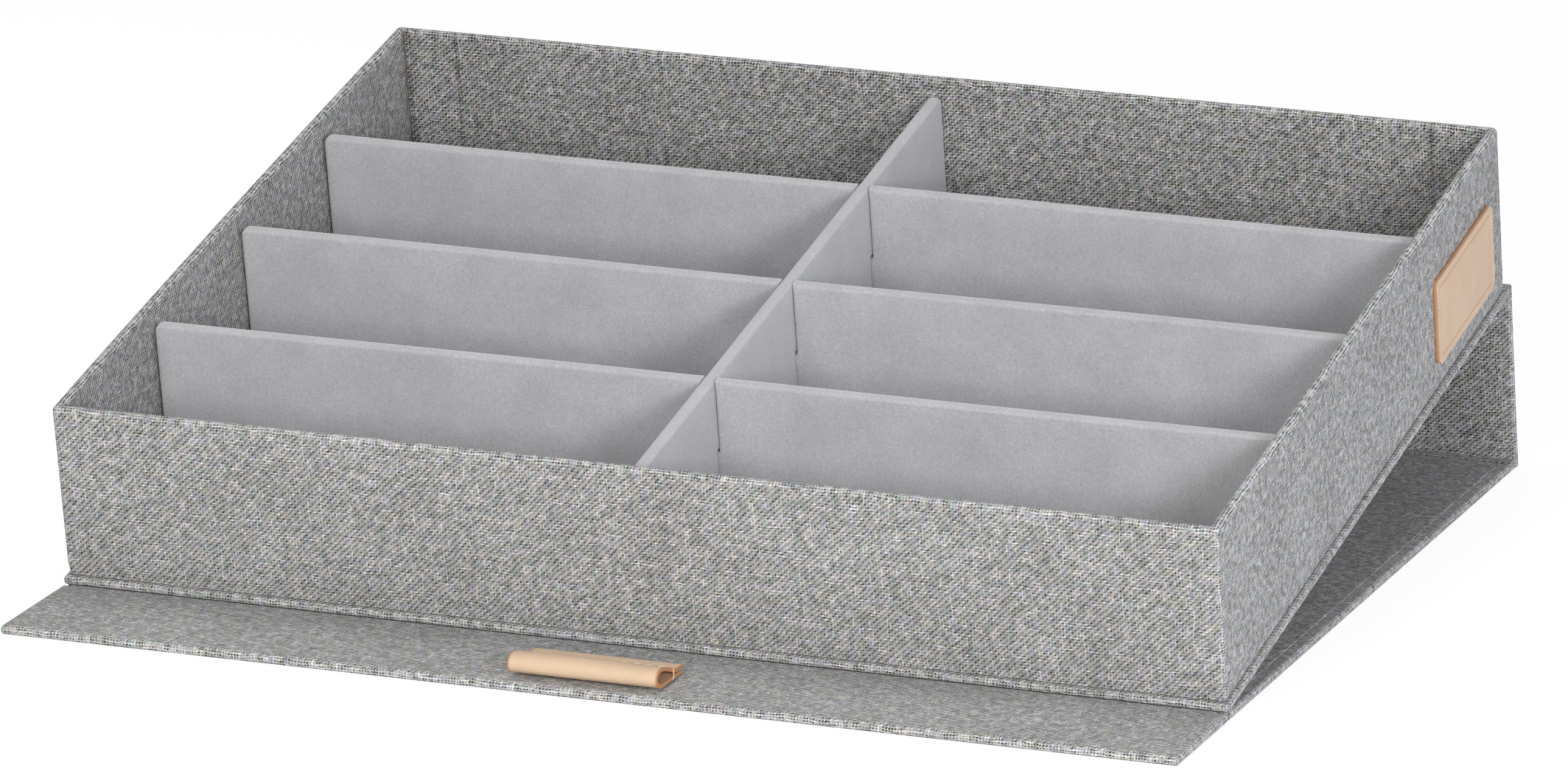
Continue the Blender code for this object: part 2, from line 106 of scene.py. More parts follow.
class GLASSESBOX_PG_cover(bpy.types.PropertyGroup):
    """Sizes of the folding cover."""
    board: size("Board", "Thickness of a cloth-covered board", 2.6)
    projection: size("Projection", "How far the base board projects past the walls", 1.0)
    hinge_gap: size("Hinge gap", "Gap between two boards at a cloth hinge", 0.6)
    lid_clearance: size("Lid clearance", "Gap between the rim and the closed lid", 0.6)
    flap: size("Flap", "Length of the front flap", 41.9)
    facing_inset: size("Facing inset", "Distance of a facing sheet from the board's ends", 3.4)
    facing: size("Facing", "Thickness of a facing sheet", 0.3)
    hinge_inset: size("Hinge inset", "Distance of a facing sheet from a cloth hinge", 5.8)
    cloth: size("Cloth", "Thickness of the hinge cloth", 0.4)


class GLASSESBOX_PG_leather(bpy.types.PropertyGroup):
    """Sizes of the pull tab and the label."""
    tab_width: size("Tab width", "Width of the pull tab", 42.0)
    tab_length: size("Tab length", "Length of the pull tab from its fold to its tail", 20.0)
    tab_loop: size("Tab loop", "Height of the tab's loop", 6.5)
    tab_leather: size("Tab leather", "Thickness of the tab's leather", 1.1)
    tab_setback: size("Tab setback", "Distance of the tab's fold from the flap's front edge", 2.4)
    thread: size("Thread", "Diameter of the sewing thread", 0.45)
    label_length: size("Label length", "Length of the label", 52.3)
    label_height: size("Label height", "Height of the label", 25.5)
    label_leather: size("Label leather", "Thickness of the label", 1.4)
    label_corner: size("Label corner", "Radius of the label's corners", 2.5)


class GLASSESBOX_PG_finish(bpy.types.PropertyGroup):
    """Colours and pattern sizes of the finishes."""
    thread_pitch: size("Thread pitch", "Spacing of the cloth's threads", 0.87)
    weave_contrast: FloatProperty(name="Weave contrast", default=1.0, min=0.0, subtype="FACTOR",
                                  description="Strength of the gaps between threads")
    cloth_pale: tint("Pale yarn", "Lightest yarn of the mixed cloth", "e6e9ea")
    cloth_mid: tint("Middle yarn", "Most common tone of the mixed cloth", "a2a2a1")
    cloth_dark: tint("Dark yarn", "Brown-grey yarn of the mixed cloth", "716b66")
    cloth_gap: tint("Gap", "Shade between the threads", "38302c")
    velour: tint("Velour", "Colour of the velour", "c8c8cb")
    leather: tint("Leather", "Colour of the leather's face", "dfc1a4")
    leather_cut: tint("Cut leather", "Colour of the leather's cut edges", "c58a5e")
    card: tint("Card", "Colour of the grey board", "8f8e89")
    sewing: tint("Sewing thread", "Colour of the sewing thread", "e9d6b6")


# Geometry


def layout():
    """Places that follow from the sizes and from the frame's hinges.

    The tray's own coordinates are X, depth from the base board's front edge and height above its
    underside. The spine stands square on them, so the line between its two hinges gives the tilt.
    """
    tray, cover = bpy.context.scene.glassesbox_tray, bpy.context.scene.glassesbox_cover
    t, p = cover.board, cover.projection
    hinges = {joint["name"]: Vector(joint["pos_m"]) for joint in frame["joints"]}
    spine, lid = hinges["spine_hinge"], hinges["lid_hinge"]
    place = {"board": t, "half": t / 2, "rim": t + tray.wall_height}
    place["base_depth"], place["cover_width"] = tray.depth + 2 * p, tray.width + 2 * p
    place["spine"] = place["rim"] + cover.lid_clearance + t
    place["spine_axis"] = place["base_depth"] + cover.hinge_gap + t / 2
    place["lid_reach"] = place["spine_axis"] + t
    # The base board's front edge nests between lid and flap, clear of the cloth there.
    nest = math.hypot(place["spine_axis"], place["spine"] - 1.5 * t) + cover.cloth + 2 * GLUE
    place["flap_start"] = max(t + cover.hinge_gap, nest - place["lid_reach"])
    place["spine_hinge"], place["middle"], place["lid_axis_y"] = spine, lid.x, lid.y
    place["tilt"] = math.atan2(lid.y - spine.y, spine.z - lid.z)
    return place


def ramp(value, width):
    """Rises from 0 where the value is 0 to 1 where it is the width."""
    return np.clip(value / width, 0, 1)


def tray_to_world(points, place):
    """Turn tray coordinates (x, depth, height) into the frame's: a turn by the tilt about X."""
    x, depth, height = np.moveaxis(np.asarray(points, float), -1, 0)
    cos, sin = math.cos(place["tilt"]), math.sin(place["tilt"])
    d, h = depth - place["spine_axis"], height - place["half"]
    hinge = place["spine_hinge"]
    return np.stack([x + place["middle"], hinge.y + d * cos - h * sin, hinge.z + d * sin + h * cos], -1)


def in_tray(place, depth, height):
    """What carries a piece's own (x, y, z) to a depth and height in the tray."""
    return lambda p: tray_to_world(p + np.array([0, depth, height]), place)


def on_lid(place, depth, height):
    """The same for the lid and flap: depth from the lid's hinge, height from mid-board."""
    return lambda p: p + np.array([place["middle"], place["lid_axis_y"] + depth, place["half"] + height])


def rounded_rectangle(width, height, radius, step, corner_steps=6, draw=0.0):
    """Outline of a rectangle with round corners, anticlockwise: quarter arcs joined by even steps.

    Drawn in by `draw`, the rectangle keeps its number of points, so that outlines can be stacked.
    """
    runs = [max(int((side - 2 * radius) / step), 1) for side in (height, width, height, width)]
    width, height, radius = width - 2 * draw, height - 2 * draw, max(radius - draw, LEAST_CORNER)
    x, y = width / 2 - radius, height / 2 - radius
    arcs = []
    for (cx, cy), start in zip(((x, -y), (x, y), (-x, y), (-x, -y)), (-90, 0, 90, 180)):
        angle = np.radians(start + np.linspace(0, 90, corner_steps + 1))
        arcs.append(np.stack([cx + radius * np.cos(angle), cy + radius * np.sin(angle)], -1))
    outline = []
    for arc, following, count in zip(arcs, arcs[1:] + arcs[:1], runs):
        share = np.linspace(0, 1, count + 1)[1:-1, None]
        outline += [arc, arc[-1] + (following[0] - arc[-1]) * share]
    return np.concatenate(outline)


def refine(corners, step):
    """Points every `step` at most along a closed outline of straight runs."""
    corners = np.asarray(corners, float)
    runs = []
    for a, b in zip(corners, np.roll(corners, -1, 0)):
        count = max(int(np.linalg.norm(b - a) / step), 1)
        runs.append(a + (b - a) * np.linspace(0, 1, count + 1)[:-1, None])
    return np.concatenate(runs)


def make_mesh(name, points, faces, uvs):
    """Mesh object from vertex positions, faces as index lists, and one UV pair per face corner."""
    mesh = bpy.data.meshes.new(name)
    mesh.from_pydata(points.tolist(), [], faces)
    layer = mesh.uv_layers.new(name="cloth")
    layer.data.foreach_set("uv", np.asarray(uvs, np.float32).ravel())
    mesh.update()
    mesh.shade_smooth()
    mesh.set_sharp_from_angle(angle=SHARP)
    obj = bpy.data.objects.new(name, mesh)
    bpy.context.scene.collection.objects.link(obj)
    return obj


def mark(obj, name, values):
    """Store one number per vertex under a name that a material can read."""
    layer = obj.data.attributes.new(name, "FLOAT", "POINT")
    layer.data.foreach_set("value", np.asarray(values, np.float32).ravel())
    return obj


def merge(obj, distance=MM / 1e6):
    """Join vertices that coincide, such as the two edges of a seam."""
    bm = bmesh.new()
    bm.from_mesh(obj.data)
    bmesh.ops.remove_doubles(bm, verts=bm.verts, dist=distance)
    bmesh.ops.recalc_face_normals(bm, faces=bm.faces)
    bm.to_mesh(obj.data)
    bm.free()
    obj.data.set_sharp_from_angle(angle=SHARP)
    return obj


def tube_quads(rings, sides):
    """Faces between rings of vertices numbered ring by ring, the last side joined to the first."""
    ring, side = np.meshgrid(np.arange(rings - 1), np.arange(sides), indexing="ij")
    after = (side + 1) % sides
    return np.stack([ring * sides + side, ring * sides + after,
                     (ring + 1) * sides + after, (ring + 1) * sides + side], -1).reshape(-1, 4)


def slab(name, outline, thickness, radius, carry, steps=5, uv_shift=(0.0, 0.0)):
    """A sheet or board with rounded edges.

    The edge profile, two quarter circles with a straight side between them, is carried round the
    outline: at angle a the ring is drawn in by radius * (1 - cos a) and lies at the height
    (thickness / 2 - radius) + radius * sin a. `carry` turns (x, y, z) into the frame's. The UV map
    is the flat outline, carried on outwards round the edge by arc length.
    """
    def unit(vectors):
        return vectors / np.linalg.norm(vectors, axis=1)[:, None]

    edge = unit(unit(np.roll(outline, -1, 0) - outline) + unit(outline - np.roll(outline, 1, 0)))
    outward = np.stack([edge[:, 1], -edge[:, 0]], -1)
    radius = min(radius, thickness / 2 - MM / 1000)
    up = np.radians(np.linspace(90, 0, steps + 1))
    angles = np.concatenate([up, -up[::-1]])
    draw_in = radius * (1 - np.cos(angles))
    height = thickness / 2 - radius + radius * np.sin(up)
    height = np.concatenate([height, -height[::-1]])
    rings = outline[None] - outward[None] * draw_in[:, None, None]
    points = np.concatenate([rings, np.broadcast_to(height[:, None, None], rings.shape[:2] + (1,))], -1)
    arc = np.concatenate([[0.0], np.cumsum(np.hypot(np.diff(draw_in), np.diff(height)))])
    flat = (outline - outward * radius)[None] + outward[None] * arc[:, None, None] + np.array(uv_shift)
    count, sides = len(angles), len(outline)
    quads = tube_quads(count, sides)[:, [0, 3, 2, 1]]
    top = list(range(sides))
    bottom = list(range((count - 1) * sides, count * sides))[::-1]
    table = flat.reshape(-1, 2)
    elsewhere = 0.31  # the underside shows a different part of the cloth
    underside = (rings[-1] + np.array(uv_shift) + elsewhere)[::-1]
    made = make_mesh(name, carry(points.reshape(-1, 3)), quads.tolist() + [top, bottom],
                     np.concatenate([table[quads.ravel()], table[top], underside]))
    # The fold mark, 1 halfway round the edge, gives the linen cloth deeper gaps and a painted highlight
    # there.
    return mark(made, "fold", np.repeat(np.cos(angles) ** 2, sides))


def carried(name, points, uv, capped=True):
    """A tube from a grid of points: rows are stations along the path, columns the closed profile."""
    rows, columns = points.shape[:2]
    quads = tube_quads(rows, columns)
    table = uv.reshape(-1, 2)
    uvs = table[quads.ravel()].reshape(-1, 4, 2)
    # The quads that close the profile run on in the UV map instead of back to its start.
    closing = np.tile(np.arange(columns) == columns - 1, rows - 1)
    span = np.array([0.0, np.linalg.norm(points[:, -1] - points[:, 0], axis=-1).mean()])
    uvs[closing, 1] = uvs[closing, 0] + span
    uvs[closing, 2] = uvs[closing, 3] + span
    faces, uvs = quads.tolist(), [uvs.reshape(-1, 2)]
    if capped:
        first = list(range(columns))[::-1]
        final = list(range((rows - 1) * columns, rows * columns))
        faces += [first, final]
        uvs += [table[first], table[final]]
    return make_mesh(name, points.reshape(-1, 3), faces, np.concatenate(uvs))


def join(name, objects):
    """Put several meshes into one object."""
    bm = bmesh.new()
    for obj in objects:
        bm.from_mesh(obj.data)
    mesh = objects[0].data
    bm.to_mesh(mesh)
    bm.free()
    for obj in objects[1:]:
        bpy.data.meshes.remove(obj.data)
    objects[0].name = name
    mesh.name = name
    return objects[0]


def finish_piece(obj, mat, body, slot, *nodes):
    """Give a piece its material and body, and hide the nodes of the frame that it stands for; the slot is
    not used.
    """
    obj.data.materials.append(mat)
    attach(obj, body)
    if nodes:
        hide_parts(*nodes)


# Materials


def new_tree(name):
    """A material and its emptied node tree."""
    mat = bpy.data.materials.new(name)
    mat.use_nodes = True
    mat.node_tree.nodes.clear()
    return mat, mat.node_tree


def node(tree, kind, inputs=None, stops=(), **settings):
    """Add one node: inputs are values or the nodes that feed it, settings are its attributes.

    A colour ramp's stops are pairs of position and colour.
    """
    made = tree.nodes.new("ShaderNode" + kind)
    for number, (position, shade) in enumerate(stops):
        marks = made.color_ramp.elements
        stop = marks[number] if number < len(marks) else marks.new(position)
        stop.position, stop.color = position, shade
    for key, value in settings.items():
        setattr(made, key, value)
    for key, value in (inputs or {}).items():
        if isinstance(value, bpy.types.Node):
            value = value.outputs[0]
        if isinstance(value, bpy.types.NodeSocket):
            tree.links.new(value, made.inputs[key])
        else:
            made.inputs[key].default_value = value
    return made


def mottle(tree, where, scale, detail, low, high, roughness=0.5, spread=0.2):
    """A noise, and the factor from low to high that it gives while it is within the spread of 0.5."""
    noise = node(tree, "TexNoise",
                 {"Vector": where, "Scale": scale, "Detail": detail, "Roughness": roughness})
    factor = node(tree, "MapRange", {0: noise, "From Min": 0.5 - spread, "From Max": 0.5 + spread,
                                     "To Min": low, "To Max": high})
    return noise, factor


def finished(mat, inputs):
    """The material with a shader of these inputs."""
    shader = node(mat.node_tree, "BsdfPrincipled", inputs)
    node(mat.node_tree, "OutputMaterial", {"Surface": shader})
    return mat


def yarn_tones(tree, x, y, ridges):
    """Tone along every yarn, warp then weft, and the slubs where it is thick.

    Each yarn has its own noise: its number across, spread by a step, and a slow coordinate along.
    """
    yarns, slubs = [], []
    step, per_thread = 3.71, 0.33
    for across, along, seed, edges in ((x, y, 31.0, ridges[:1]), (y, x, 57.0, ridges[1:])):
        own = node(tree, "Math", {0: across}, operation="FLOOR")
        own = node(tree, "Math", {0: own, 1: step, 2: seed}, operation="MULTIPLY_ADD")
        where = node(tree, "CombineXYZ", {0: own, 1: along})
        yarn = node(tree, "TexNoise", {"Vector": where, "Scale": per_thread, "Detail": 1.0},
                    noise_dimensions="2D")
        yarns.append(yarn)
        thick = node(tree, "MapRange", {0: yarn, "From Min": 0.52, "From Max": 0.76},
                     interpolation_type="SMOOTHSTEP")
        slubs += [node(tree, "Math", {0: edge, 1: thick}, operation="MULTIPLY") for edge in edges]
    return yarns, slubs


def linen_cloth():
    """Plain-weave book cloth with a linen look, of slubbed pale grey and brown-grey yarns.

    x and y count threads; yarns cross at half numbers and gaps lie at whole ones. A gap is painted
    dark, as shade between the threads, where (1 + cos 2 pi x)(1 + cos 2 pi y) / 4 is near 1, sheared
    along one diagonal by the yarns' twist, and every second one is deeper, by cos pi (x - y). A slub is
    a raised cosine across its yarn, with a painted highlight on its upper edge and painted shade below
    it, for a few threads' length. Each yarn's tone wanders along it.
    It gives the eye a dull, dry cloth of mixed greys with dark brown pits.
    """
    finish = bpy.context.scene.glassesbox_finish
    mat, tree = new_tree("linen_look_cloth")
    uv = node(tree, "UVMap", uv_map="cloth")
    # Threads wander by a third of their spacing over some 10 mm, and by less over 2 mm.
    wander = 0.9
    drift = node(tree, "TexNoise", {"Vector": uv, "Scale": 100.0, "Detail": 4.0}, noise_dimensions="2D")
    drift = node(tree, "VectorMath", {0: drift.outputs["Color"], 1: (2 * wander,) * 3, 2: (-wander,) * 3},
                 operation="MULTIPLY_ADD")
    threads = node(tree, "VectorMath", {0: uv, 1: (1 / finish.thread_pitch,) * 3, 2: drift},
                   operation="MULTIPLY_ADD")
    split = node(tree, "SeparateXYZ", {0: threads})
    x, y = split.outputs[0], split.outputs[1]

    turns = [node(tree, "VectorMath", {0: threads, 1: (kx * math.pi, ky * math.pi, 0.0)},
                  operation="DOT_PRODUCT").outputs["Value"] for kx, ky in ((1, -1), (0, 2))]
    slant = node(tree, "Math", {0: turns[0]}, operation="COSINE")
    lean = node(tree, "Math", {0: turns[1]}, operation="SINE")
    sheared = node(tree, "Math", {0: lean, 1: -0.143, 2: x}, operation="MULTIPLY_ADD")

    # Raised cosines: gap columns, gap rows, a warp slub's middle, and a weft slub's upper and lower
    # edges, which carry a painted highlight and painted shade.
    # The 0.4999 keeps a rounding error from reaching the power as a number below 0.
    ridges = []
    wide, narrow = 0.7, 3.0
    for across, shift, power in ((sheared, 0.0, wide), (y, 0.0, wide),
                                 (x, 0.5, narrow), (y, 0.28, narrow), (y, 0.0, narrow)):
        turn = node(tree, "Math", {0: across, 1: 2 * math.pi, 2: -2 * math.pi * shift},
                    operation="MULTIPLY_ADD")
        wave = node(tree, "Math", {0: turn}, operation="COSINE")
        wave = node(tree, "Math", {0: wave, 1: 0.4999, 2: 0.5}, operation="MULTIPLY_ADD")
        ridges.append(node(tree, "Math", {0: wave, 1: power}, operation="POWER"))
    gap = node(tree, "Math", {0: ridges[0], 1: ridges[1]}, operation="MULTIPLY")
    open_gap = node(tree, "TexNoise", {"Vector": threads, "Scale": 0.45, "Detail": 1.0},
                    noise_dimensions="2D")
    open_gap = node(tree, "MapRange",
                    {0: open_gap, "From Min": 0.36, "From Max": 0.7, "To Min": 0.22, "To Max": 1.05},
                    interpolation_type="SMOOTHSTEP")
    # Round a fold the yarns lie even and apart, so all gaps are deep. The end walls' outer faces get
    # deeper gaps too, as painted shade: the relief's own shadow there.
    fold, crease, inner, end_wall_shade = (node(tree, "Attribute", attribute_name=name).outputs["Fac"]
                                   for name in ("fold", "crease", "inner", "end_wall_shade"))
    flat = node(tree, "Math", {0: fold, 1: -1.0, 2: 1.0}, operation="MULTIPLY_ADD")
    twill = node(tree, "Math", {0: slant, 1: flat}, operation="MULTIPLY")
    depth = 0.7
    for part, share in ((twill, 0.3), (fold, 0.8), (end_wall_shade, 0.6)):
        depth = node(tree, "Math", {0: part, 1: share, 2: depth}, operation="MULTIPLY_ADD")
    for factor in (open_gap, depth):
        gap = node(tree, "Math", {0: gap, 1: factor}, operation="MULTIPLY")

    yarns, slubs = yarn_tones(tree, x, y, ridges[2:])
    # The warp is on top where cos pi (x - y) - cos pi (x + y) is above 0.
    on_top = node(tree, "VectorMath", {0: threads, 1: (math.pi, math.pi, 0.0)}, operation="DOT_PRODUCT")
    on_top = node(tree, "Math", {0: on_top.outputs["Value"]}, operation="COSINE")
    on_top = node(tree, "Math", {0: slant, 1: on_top}, operation="SUBTRACT")
    on_top = node(tree, "MapRange", {0: on_top, "From Min": -0.6, "From Max": 0.6},
                  interpolation_type="SMOOTHSTEP")
    yarn = node(tree, "Mix", {0: on_top, 2: yarns[1], 3: yarns[0]}, data_type="FLOAT")

    # Fibres in a yarn, blotches of some 3 threads, and clouds of some 20 mm.
    fibre, blotch, cloud = (
        node(tree, "TexNoise", {"Vector": where, "Scale": scale, "Detail": detail}, noise_dimensions="2D")
        for where, scale, detail in ((threads, 3.2, 1.0), (threads, 0.3, 1.0), (uv, 45.0, 2.0)))
    # Painted shade: the gaps of the cloth inside the box are darker, as less light gets into them.
    inner_gap_shade = node(tree, "Math", {0: gap, 1: inner}, operation="MULTIPLY")

    # Weight of each part in the tone, matched to the cloth's contrast at each spacing.
    relief = finish.weave_contrast
    noises = ((yarn, 0.28), (fibre, 0.32), (blotch, 0.26), (cloud, 0.12))
    # In the tone, the fold mark adds a painted highlight on rims and rolled edges; the crease mark, the
    # deeper gaps inside the box and all gaps are painted shade.
    parts = ((gap, -0.55 * relief), (inner_gap_shade, -0.5 * relief), (twill, -0.1 * relief),
             (slubs[0], 0.2), (slubs[1], 0.32), (slubs[2], -0.32),
             (fold, 0.14), (end_wall_shade, 0.065), (crease, -0.3), (inner, 0.027))
    mean_tone = 0.59
    tone = mean_tone - 0.5 * sum(share for _, share in noises)
    for part, share in noises + parts:
        tone = node(tree, "Math", {0: part, 1: share, 2: tone}, operation="MULTIPLY_ADD")
    shades = ((0.0, finish.cloth_gap), (0.28, finish.cloth_dark), (0.55, finish.cloth_mid),
              (0.92, finish.cloth_pale))
    stops = [(position, tuple(shade) + (1.0,)) for position, shade in shades]
    colour = node(tree, "ValToRGB", {0: tone}, stops)
    # Some yarns are bluer and some beiger, and so are the fibres in them. Inputs 7 to 10 are the
    # vector forms of From Min, From Max, To Min and To Max.
    blue, beige = (0.935, 0.98, 1.08), (1.065, 1.02, 0.92)
    for mix in (blotch, fibre):
        hue = node(tree, "MapRange", {"Vector": mix.outputs["Color"], 7: (0.3,) * 3, 8: (0.7,) * 3,
                                      9: blue, 10: beige}, data_type="FLOAT_VECTOR")
        colour = node(tree, "VectorMath", {0: colour, 1: hue.outputs["Vector"]}, operation="MULTIPLY")
    height = 0.0
    for part, share in ((gap, -0.6), (slant, -0.1), (yarn, 0.4), (slubs[1], 0.2), (fibre, 0.15)):
        height = node(tree, "Math", {0: part, 1: share, 2: height}, operation="MULTIPLY_ADD")
    bump = node(tree, "Bump", {"Strength": 0.6, "Distance": 0.25 * MM, "Height": height})
    return finished(mat, {"Base Color": colour, "Roughness": 0.9, "Specular IOR Level": 0.2,
                          "Sheen Weight": 0.08, "Sheen Roughness": 0.5, "Normal": bump})


def velour_cloth():
    """Short-pile velour: soft, dull, blotched where the pile leans (17 mm), with a weak sheen."""
    finish = bpy.context.scene.glassesbox_finish
    mat, tree = new_tree("velour_pile")
    where = node(tree, "TexCoord").outputs["Object"]
    _, lean = mottle(tree, where, 60.0, 6.0, 0.91, 1.07, roughness=0.7)
    # Pile tufts are drawn 0.7 mm apart, coarser than real ones, so that they show.
    pile, grain = mottle(tree, where, 1500.0, 3.0, 0.88, 1.09)
    shade = node(tree, "Math", {0: lean, 1: grain}, operation="MULTIPLY")
    colour = node(tree, "VectorMath", {0: tuple(finish.velour), "Scale": shade}, operation="SCALE")
    bump = node(tree, "Bump", {"Strength": 0.35, "Distance": 0.12 * MM, "Height": pile})
    return finished(mat, {"Base Color": colour, "Roughness": 1.0, "Specular IOR Level": 0.1,
                          "Sheen Weight": 0.7, "Sheen Roughness": 0.5, "Normal": bump})


def tanned_leather():
    """Vegetable-tanned leather: smooth, pale tan and faintly clouded, with darker raw cut edges."""
    finish = bpy.context.scene.glassesbox_finish
    mat, tree = new_tree("vegetable_tanned_leather")
    where = node(tree, "TexCoord").outputs["Object"]
    _, cloud = mottle(tree, where, 120.0, 4.0, 0.93, 1.03, roughness=0.6)
    face = node(tree, "VectorMath", {0: tuple(finish.leather), "Scale": cloud}, operation="SCALE")
    edge = node(tree, "Attribute", attribute_name="cut_edge")
    colour = node(tree, "Mix", {0: edge.outputs["Fac"], 6: face, 7: tuple(finish.leather_cut) + (1.0,)},
                  data_type="RGBA")
    # Grain cells of 0.6 mm and pores of 1.4 mm.
    grain = node(tree, "TexVoronoi", {"Vector": where, "Scale": 1600.0})
    pore = node(tree, "TexNoise", {"Vector": where, "Scale": 700.0, "Detail": 3.0})
    relief = node(tree, "Math", {0: grain, 1: 0.5, 2: pore}, operation="MULTIPLY_ADD")
    bump = node(tree, "Bump", {"Strength": 0.25, "Distance": 0.1 * MM, "Height": relief})
    return finished(mat, {"Base Color": colour.outputs[2], "Roughness": 0.52, "Specular IOR Level": 0.35,
                          "Normal": bump})


def grey_board():
    """Pressed recycled board: dull grey with darker flecks of about 1 mm."""
    finish = bpy.context.scene.glassesbox_finish
    mat, tree = new_tree("pressed_grey_board")
    where = node(tree, "TexCoord").outputs["Object"]
    _, fleck = mottle(tree, where, 900.0, 3.0, 0.85, 1.05, spread=0.15)
    colour = node(tree, "VectorMath", {0: tuple(finish.card), "Scale": fleck}, operation="SCALE")
    return finished(mat, {"Base Color": colour, "Roughness": 0.95})


def sewing_thread():
    """Waxed linen thread: cream, with the fine slanted marks of its twist."""
    finish = bpy.context.scene.glassesbox_finish
    mat, tree = new_tree("waxed_linen_thread")
    where = node(tree, "TexCoord").outputs["Object"]
    turned = node(tree, "Mapping", {"Vector": where, "Rotation": (0.0, 0.0, math.radians(35))})
    twist = node(tree, "TexWave", {"Vector": turned, "Scale": 900.0, "Distortion": 1.0})
    tone = node(tree, "MapRange", {0: twist.outputs["Fac"], "To Min": 0.75, "To Max": 1.0})
    colour = node(tree, "VectorMath", {0: tuple(finish.sewing), "Scale": tone}, operation="SCALE")
    return finished(mat, {"Base Color": colour, "Roughness": 0.6})


def finish_of(name):
    """The named material, made when it is first asked for."""
    makers = {"linen_look_cloth": linen_cloth, "velour_pile": velour_cloth,
              "vegetable_tanned_leather": tanned_leather, "pressed_grey_board": grey_board,
              "waxed_linen_thread": sewing_thread}
    return bpy.data.materials.get(name) or makers[name]()


# Pieces


def wall_section(rim, foot, wall):
    """Closed section of a wall: depth behind its outer face, height, and length along the line.

    It goes up the outer face, over the rim by a half circle and down the inner face. At the foot
    the cloth turns in by a parabola.
    """
    steps, turned, drawn_in = 14, 0.7 * MM, 0.45 * MM
    half, straight = wall / 2, rim - wall / 2 - foot
    roll = np.radians(np.linspace(180, 0, steps + 1))
    up = np.linspace(0, 1, steps + 1)
    depth = np.concatenate([np.full(steps, 0.0), half + half * np.cos(roll), np.full(steps, wall)])
    height = np.concatenate([foot + straight * up[:-1], rim - half + half * np.sin(roll),
                             rim - half - straight * up[1:]])
    turn_in = (1 - ramp(height - foot, turned)) ** 2 * drawn_in
    depth += np.where(depth < half, turn_in, -turn_in)
    travel = np.concatenate([[0.0], np.cumsum(np.hypot(np.diff(depth), np.diff(height)))])
    return depth, height, travel


def wall_strip(side, place, bow):
    """One wall of the tray's cloth skin, from the middle of one corner to the middle of the next.

    At depth d a corner has the radius max(R - d, least) about a centre that lies d plus that
    radius in from both faces, so that outside it is round and inside nearly sharp. The bow pushes
    the wall out most at the rim in mid-length. At both ends of the front and rear walls the end
    walls' cloth is turned in under the inner cloth, as a low step. Marks say where the cloth is
    creased, inside the box, on an end wall's outer face, or folded: the first three carry painted
    shade and the folds a painted highlight.
    """
    tray = bpy.context.scene.glassesbox_tray
    rim, foot, wall = place["rim"], place["board"] + FIT, tray.wall
    depth, height, travel = wall_section(rim, foot, wall)
    is_end = side in ("left", "right")
    length, reach = (tray.depth, tray.width / 2) if is_end else (tray.width, tray.depth / 2)
    spacing, turned_in, step_high, step_wide = 3 * MM, 15 * MM, 0.35 * MM, 1.6 * MM
    crease_wide, edge_wide, rim_wide, end_shade_wide = 0.9 * MM, 1.3 * MM, 1.2 * MM, 4 * MM
    radius = np.maximum(tray.corner - depth, LEAST_CORNER)
    centre = depth + radius

    # Stations along the wall: half a corner, the straight, closer at the step, and half a corner.
    arc = np.radians(np.linspace(45, 0, 5))[:-1]
    at_step = 1 - (turned_in + np.linspace(-2, 2, 9) * MM) / (length / 2 - wall)
    straight = np.unique(np.concatenate([np.linspace(-1, 1, int(length / spacing)), at_step, -at_step]))
    share = np.concatenate([np.full(len(arc), -1.0), straight, np.full(len(arc), 1.0)])[:, None]
    angle = np.concatenate([arc, np.zeros(len(straight)), arc[::-1]])[:, None]
    x = share * (length / 2 - centre + radius * np.sin(angle))
    along = share * (length / 2 - centre + radius * angle)
    level = ramp(height - foot, rim - foot)
    from_middle = x.mean(1, keepdims=True) * 2 / length
    y = centre - radius * np.cos(angle) - bow * level ** 1.5 * np.maximum(1 - from_middle ** 2, 0)

    inner = ramp(depth - wall / 2, wall / 2)
    from_end = length / 2 - np.abs(x)
    from_corner = from_end - wall
    # Painted shade in the inner corners, where the cloth is creased.
    crease = 1 - ramp(np.abs(from_corner), crease_wide)
    if not is_end:
        # The step dies out towards the rim, and along its edge the cloth has a fainter crease of painted
        # shade.
        raised = ramp(turned_in + 1 * MM - from_corner, step_wide)
        y += inner * ramp(rim - height, 5 * MM) * raised * step_high
        beside = np.abs(from_corner - turned_in - step_wide / 2)
        crease = np.maximum(crease, 0.6 * (1 - ramp(beside, crease_wide)))
    # Painted highlight: the fold mark lightens the cloth over the rim and round the outer corners.
    fold = np.maximum(ramp(height - rim + 1.6 * MM, rim_wide),
                      (1 - ramp(from_end, edge_wide)) * (depth < wall / 2))
    # Painted shade: deeper gaps on the end walls' outer faces, fading out towards their ends.
    end_wall_shade = ramp(from_end, end_shade_wide) * (1 - inner) * is_end

    turn = SIDES.index(side) * math.pi / 2
    cos, sin = round(math.cos(turn)), round(math.sin(turn))
    y -= reach
    height, travel = (np.broadcast_to(values, x.shape) for values in (height, travel))
    points = np.stack([x * cos - y * sin, x * sin + y * cos + place["base_depth"] / 2, height], -1)
    # Outside, the cloth runs on from wall to wall round the corners.
    quarter = tray.corner * (math.pi / 4 - 1)
    start = SIDES.index(side) * ((tray.width + tray.depth) / 2 + 2 * quarter)
    uv = np.stack([along + start, travel], -1)
    made = carried("wall_" + side, tray_to_world(points, place)[:, ::-1], uv[:, ::-1], capped=False)
    marks = {"crease": crease * inner, "inner": inner, "end_wall_shade": end_wall_shade, "fold": fold}
    for name, values in marks.items():
        mark(made, name, np.broadcast_to(values, x.shape)[:, ::-1])
    return made


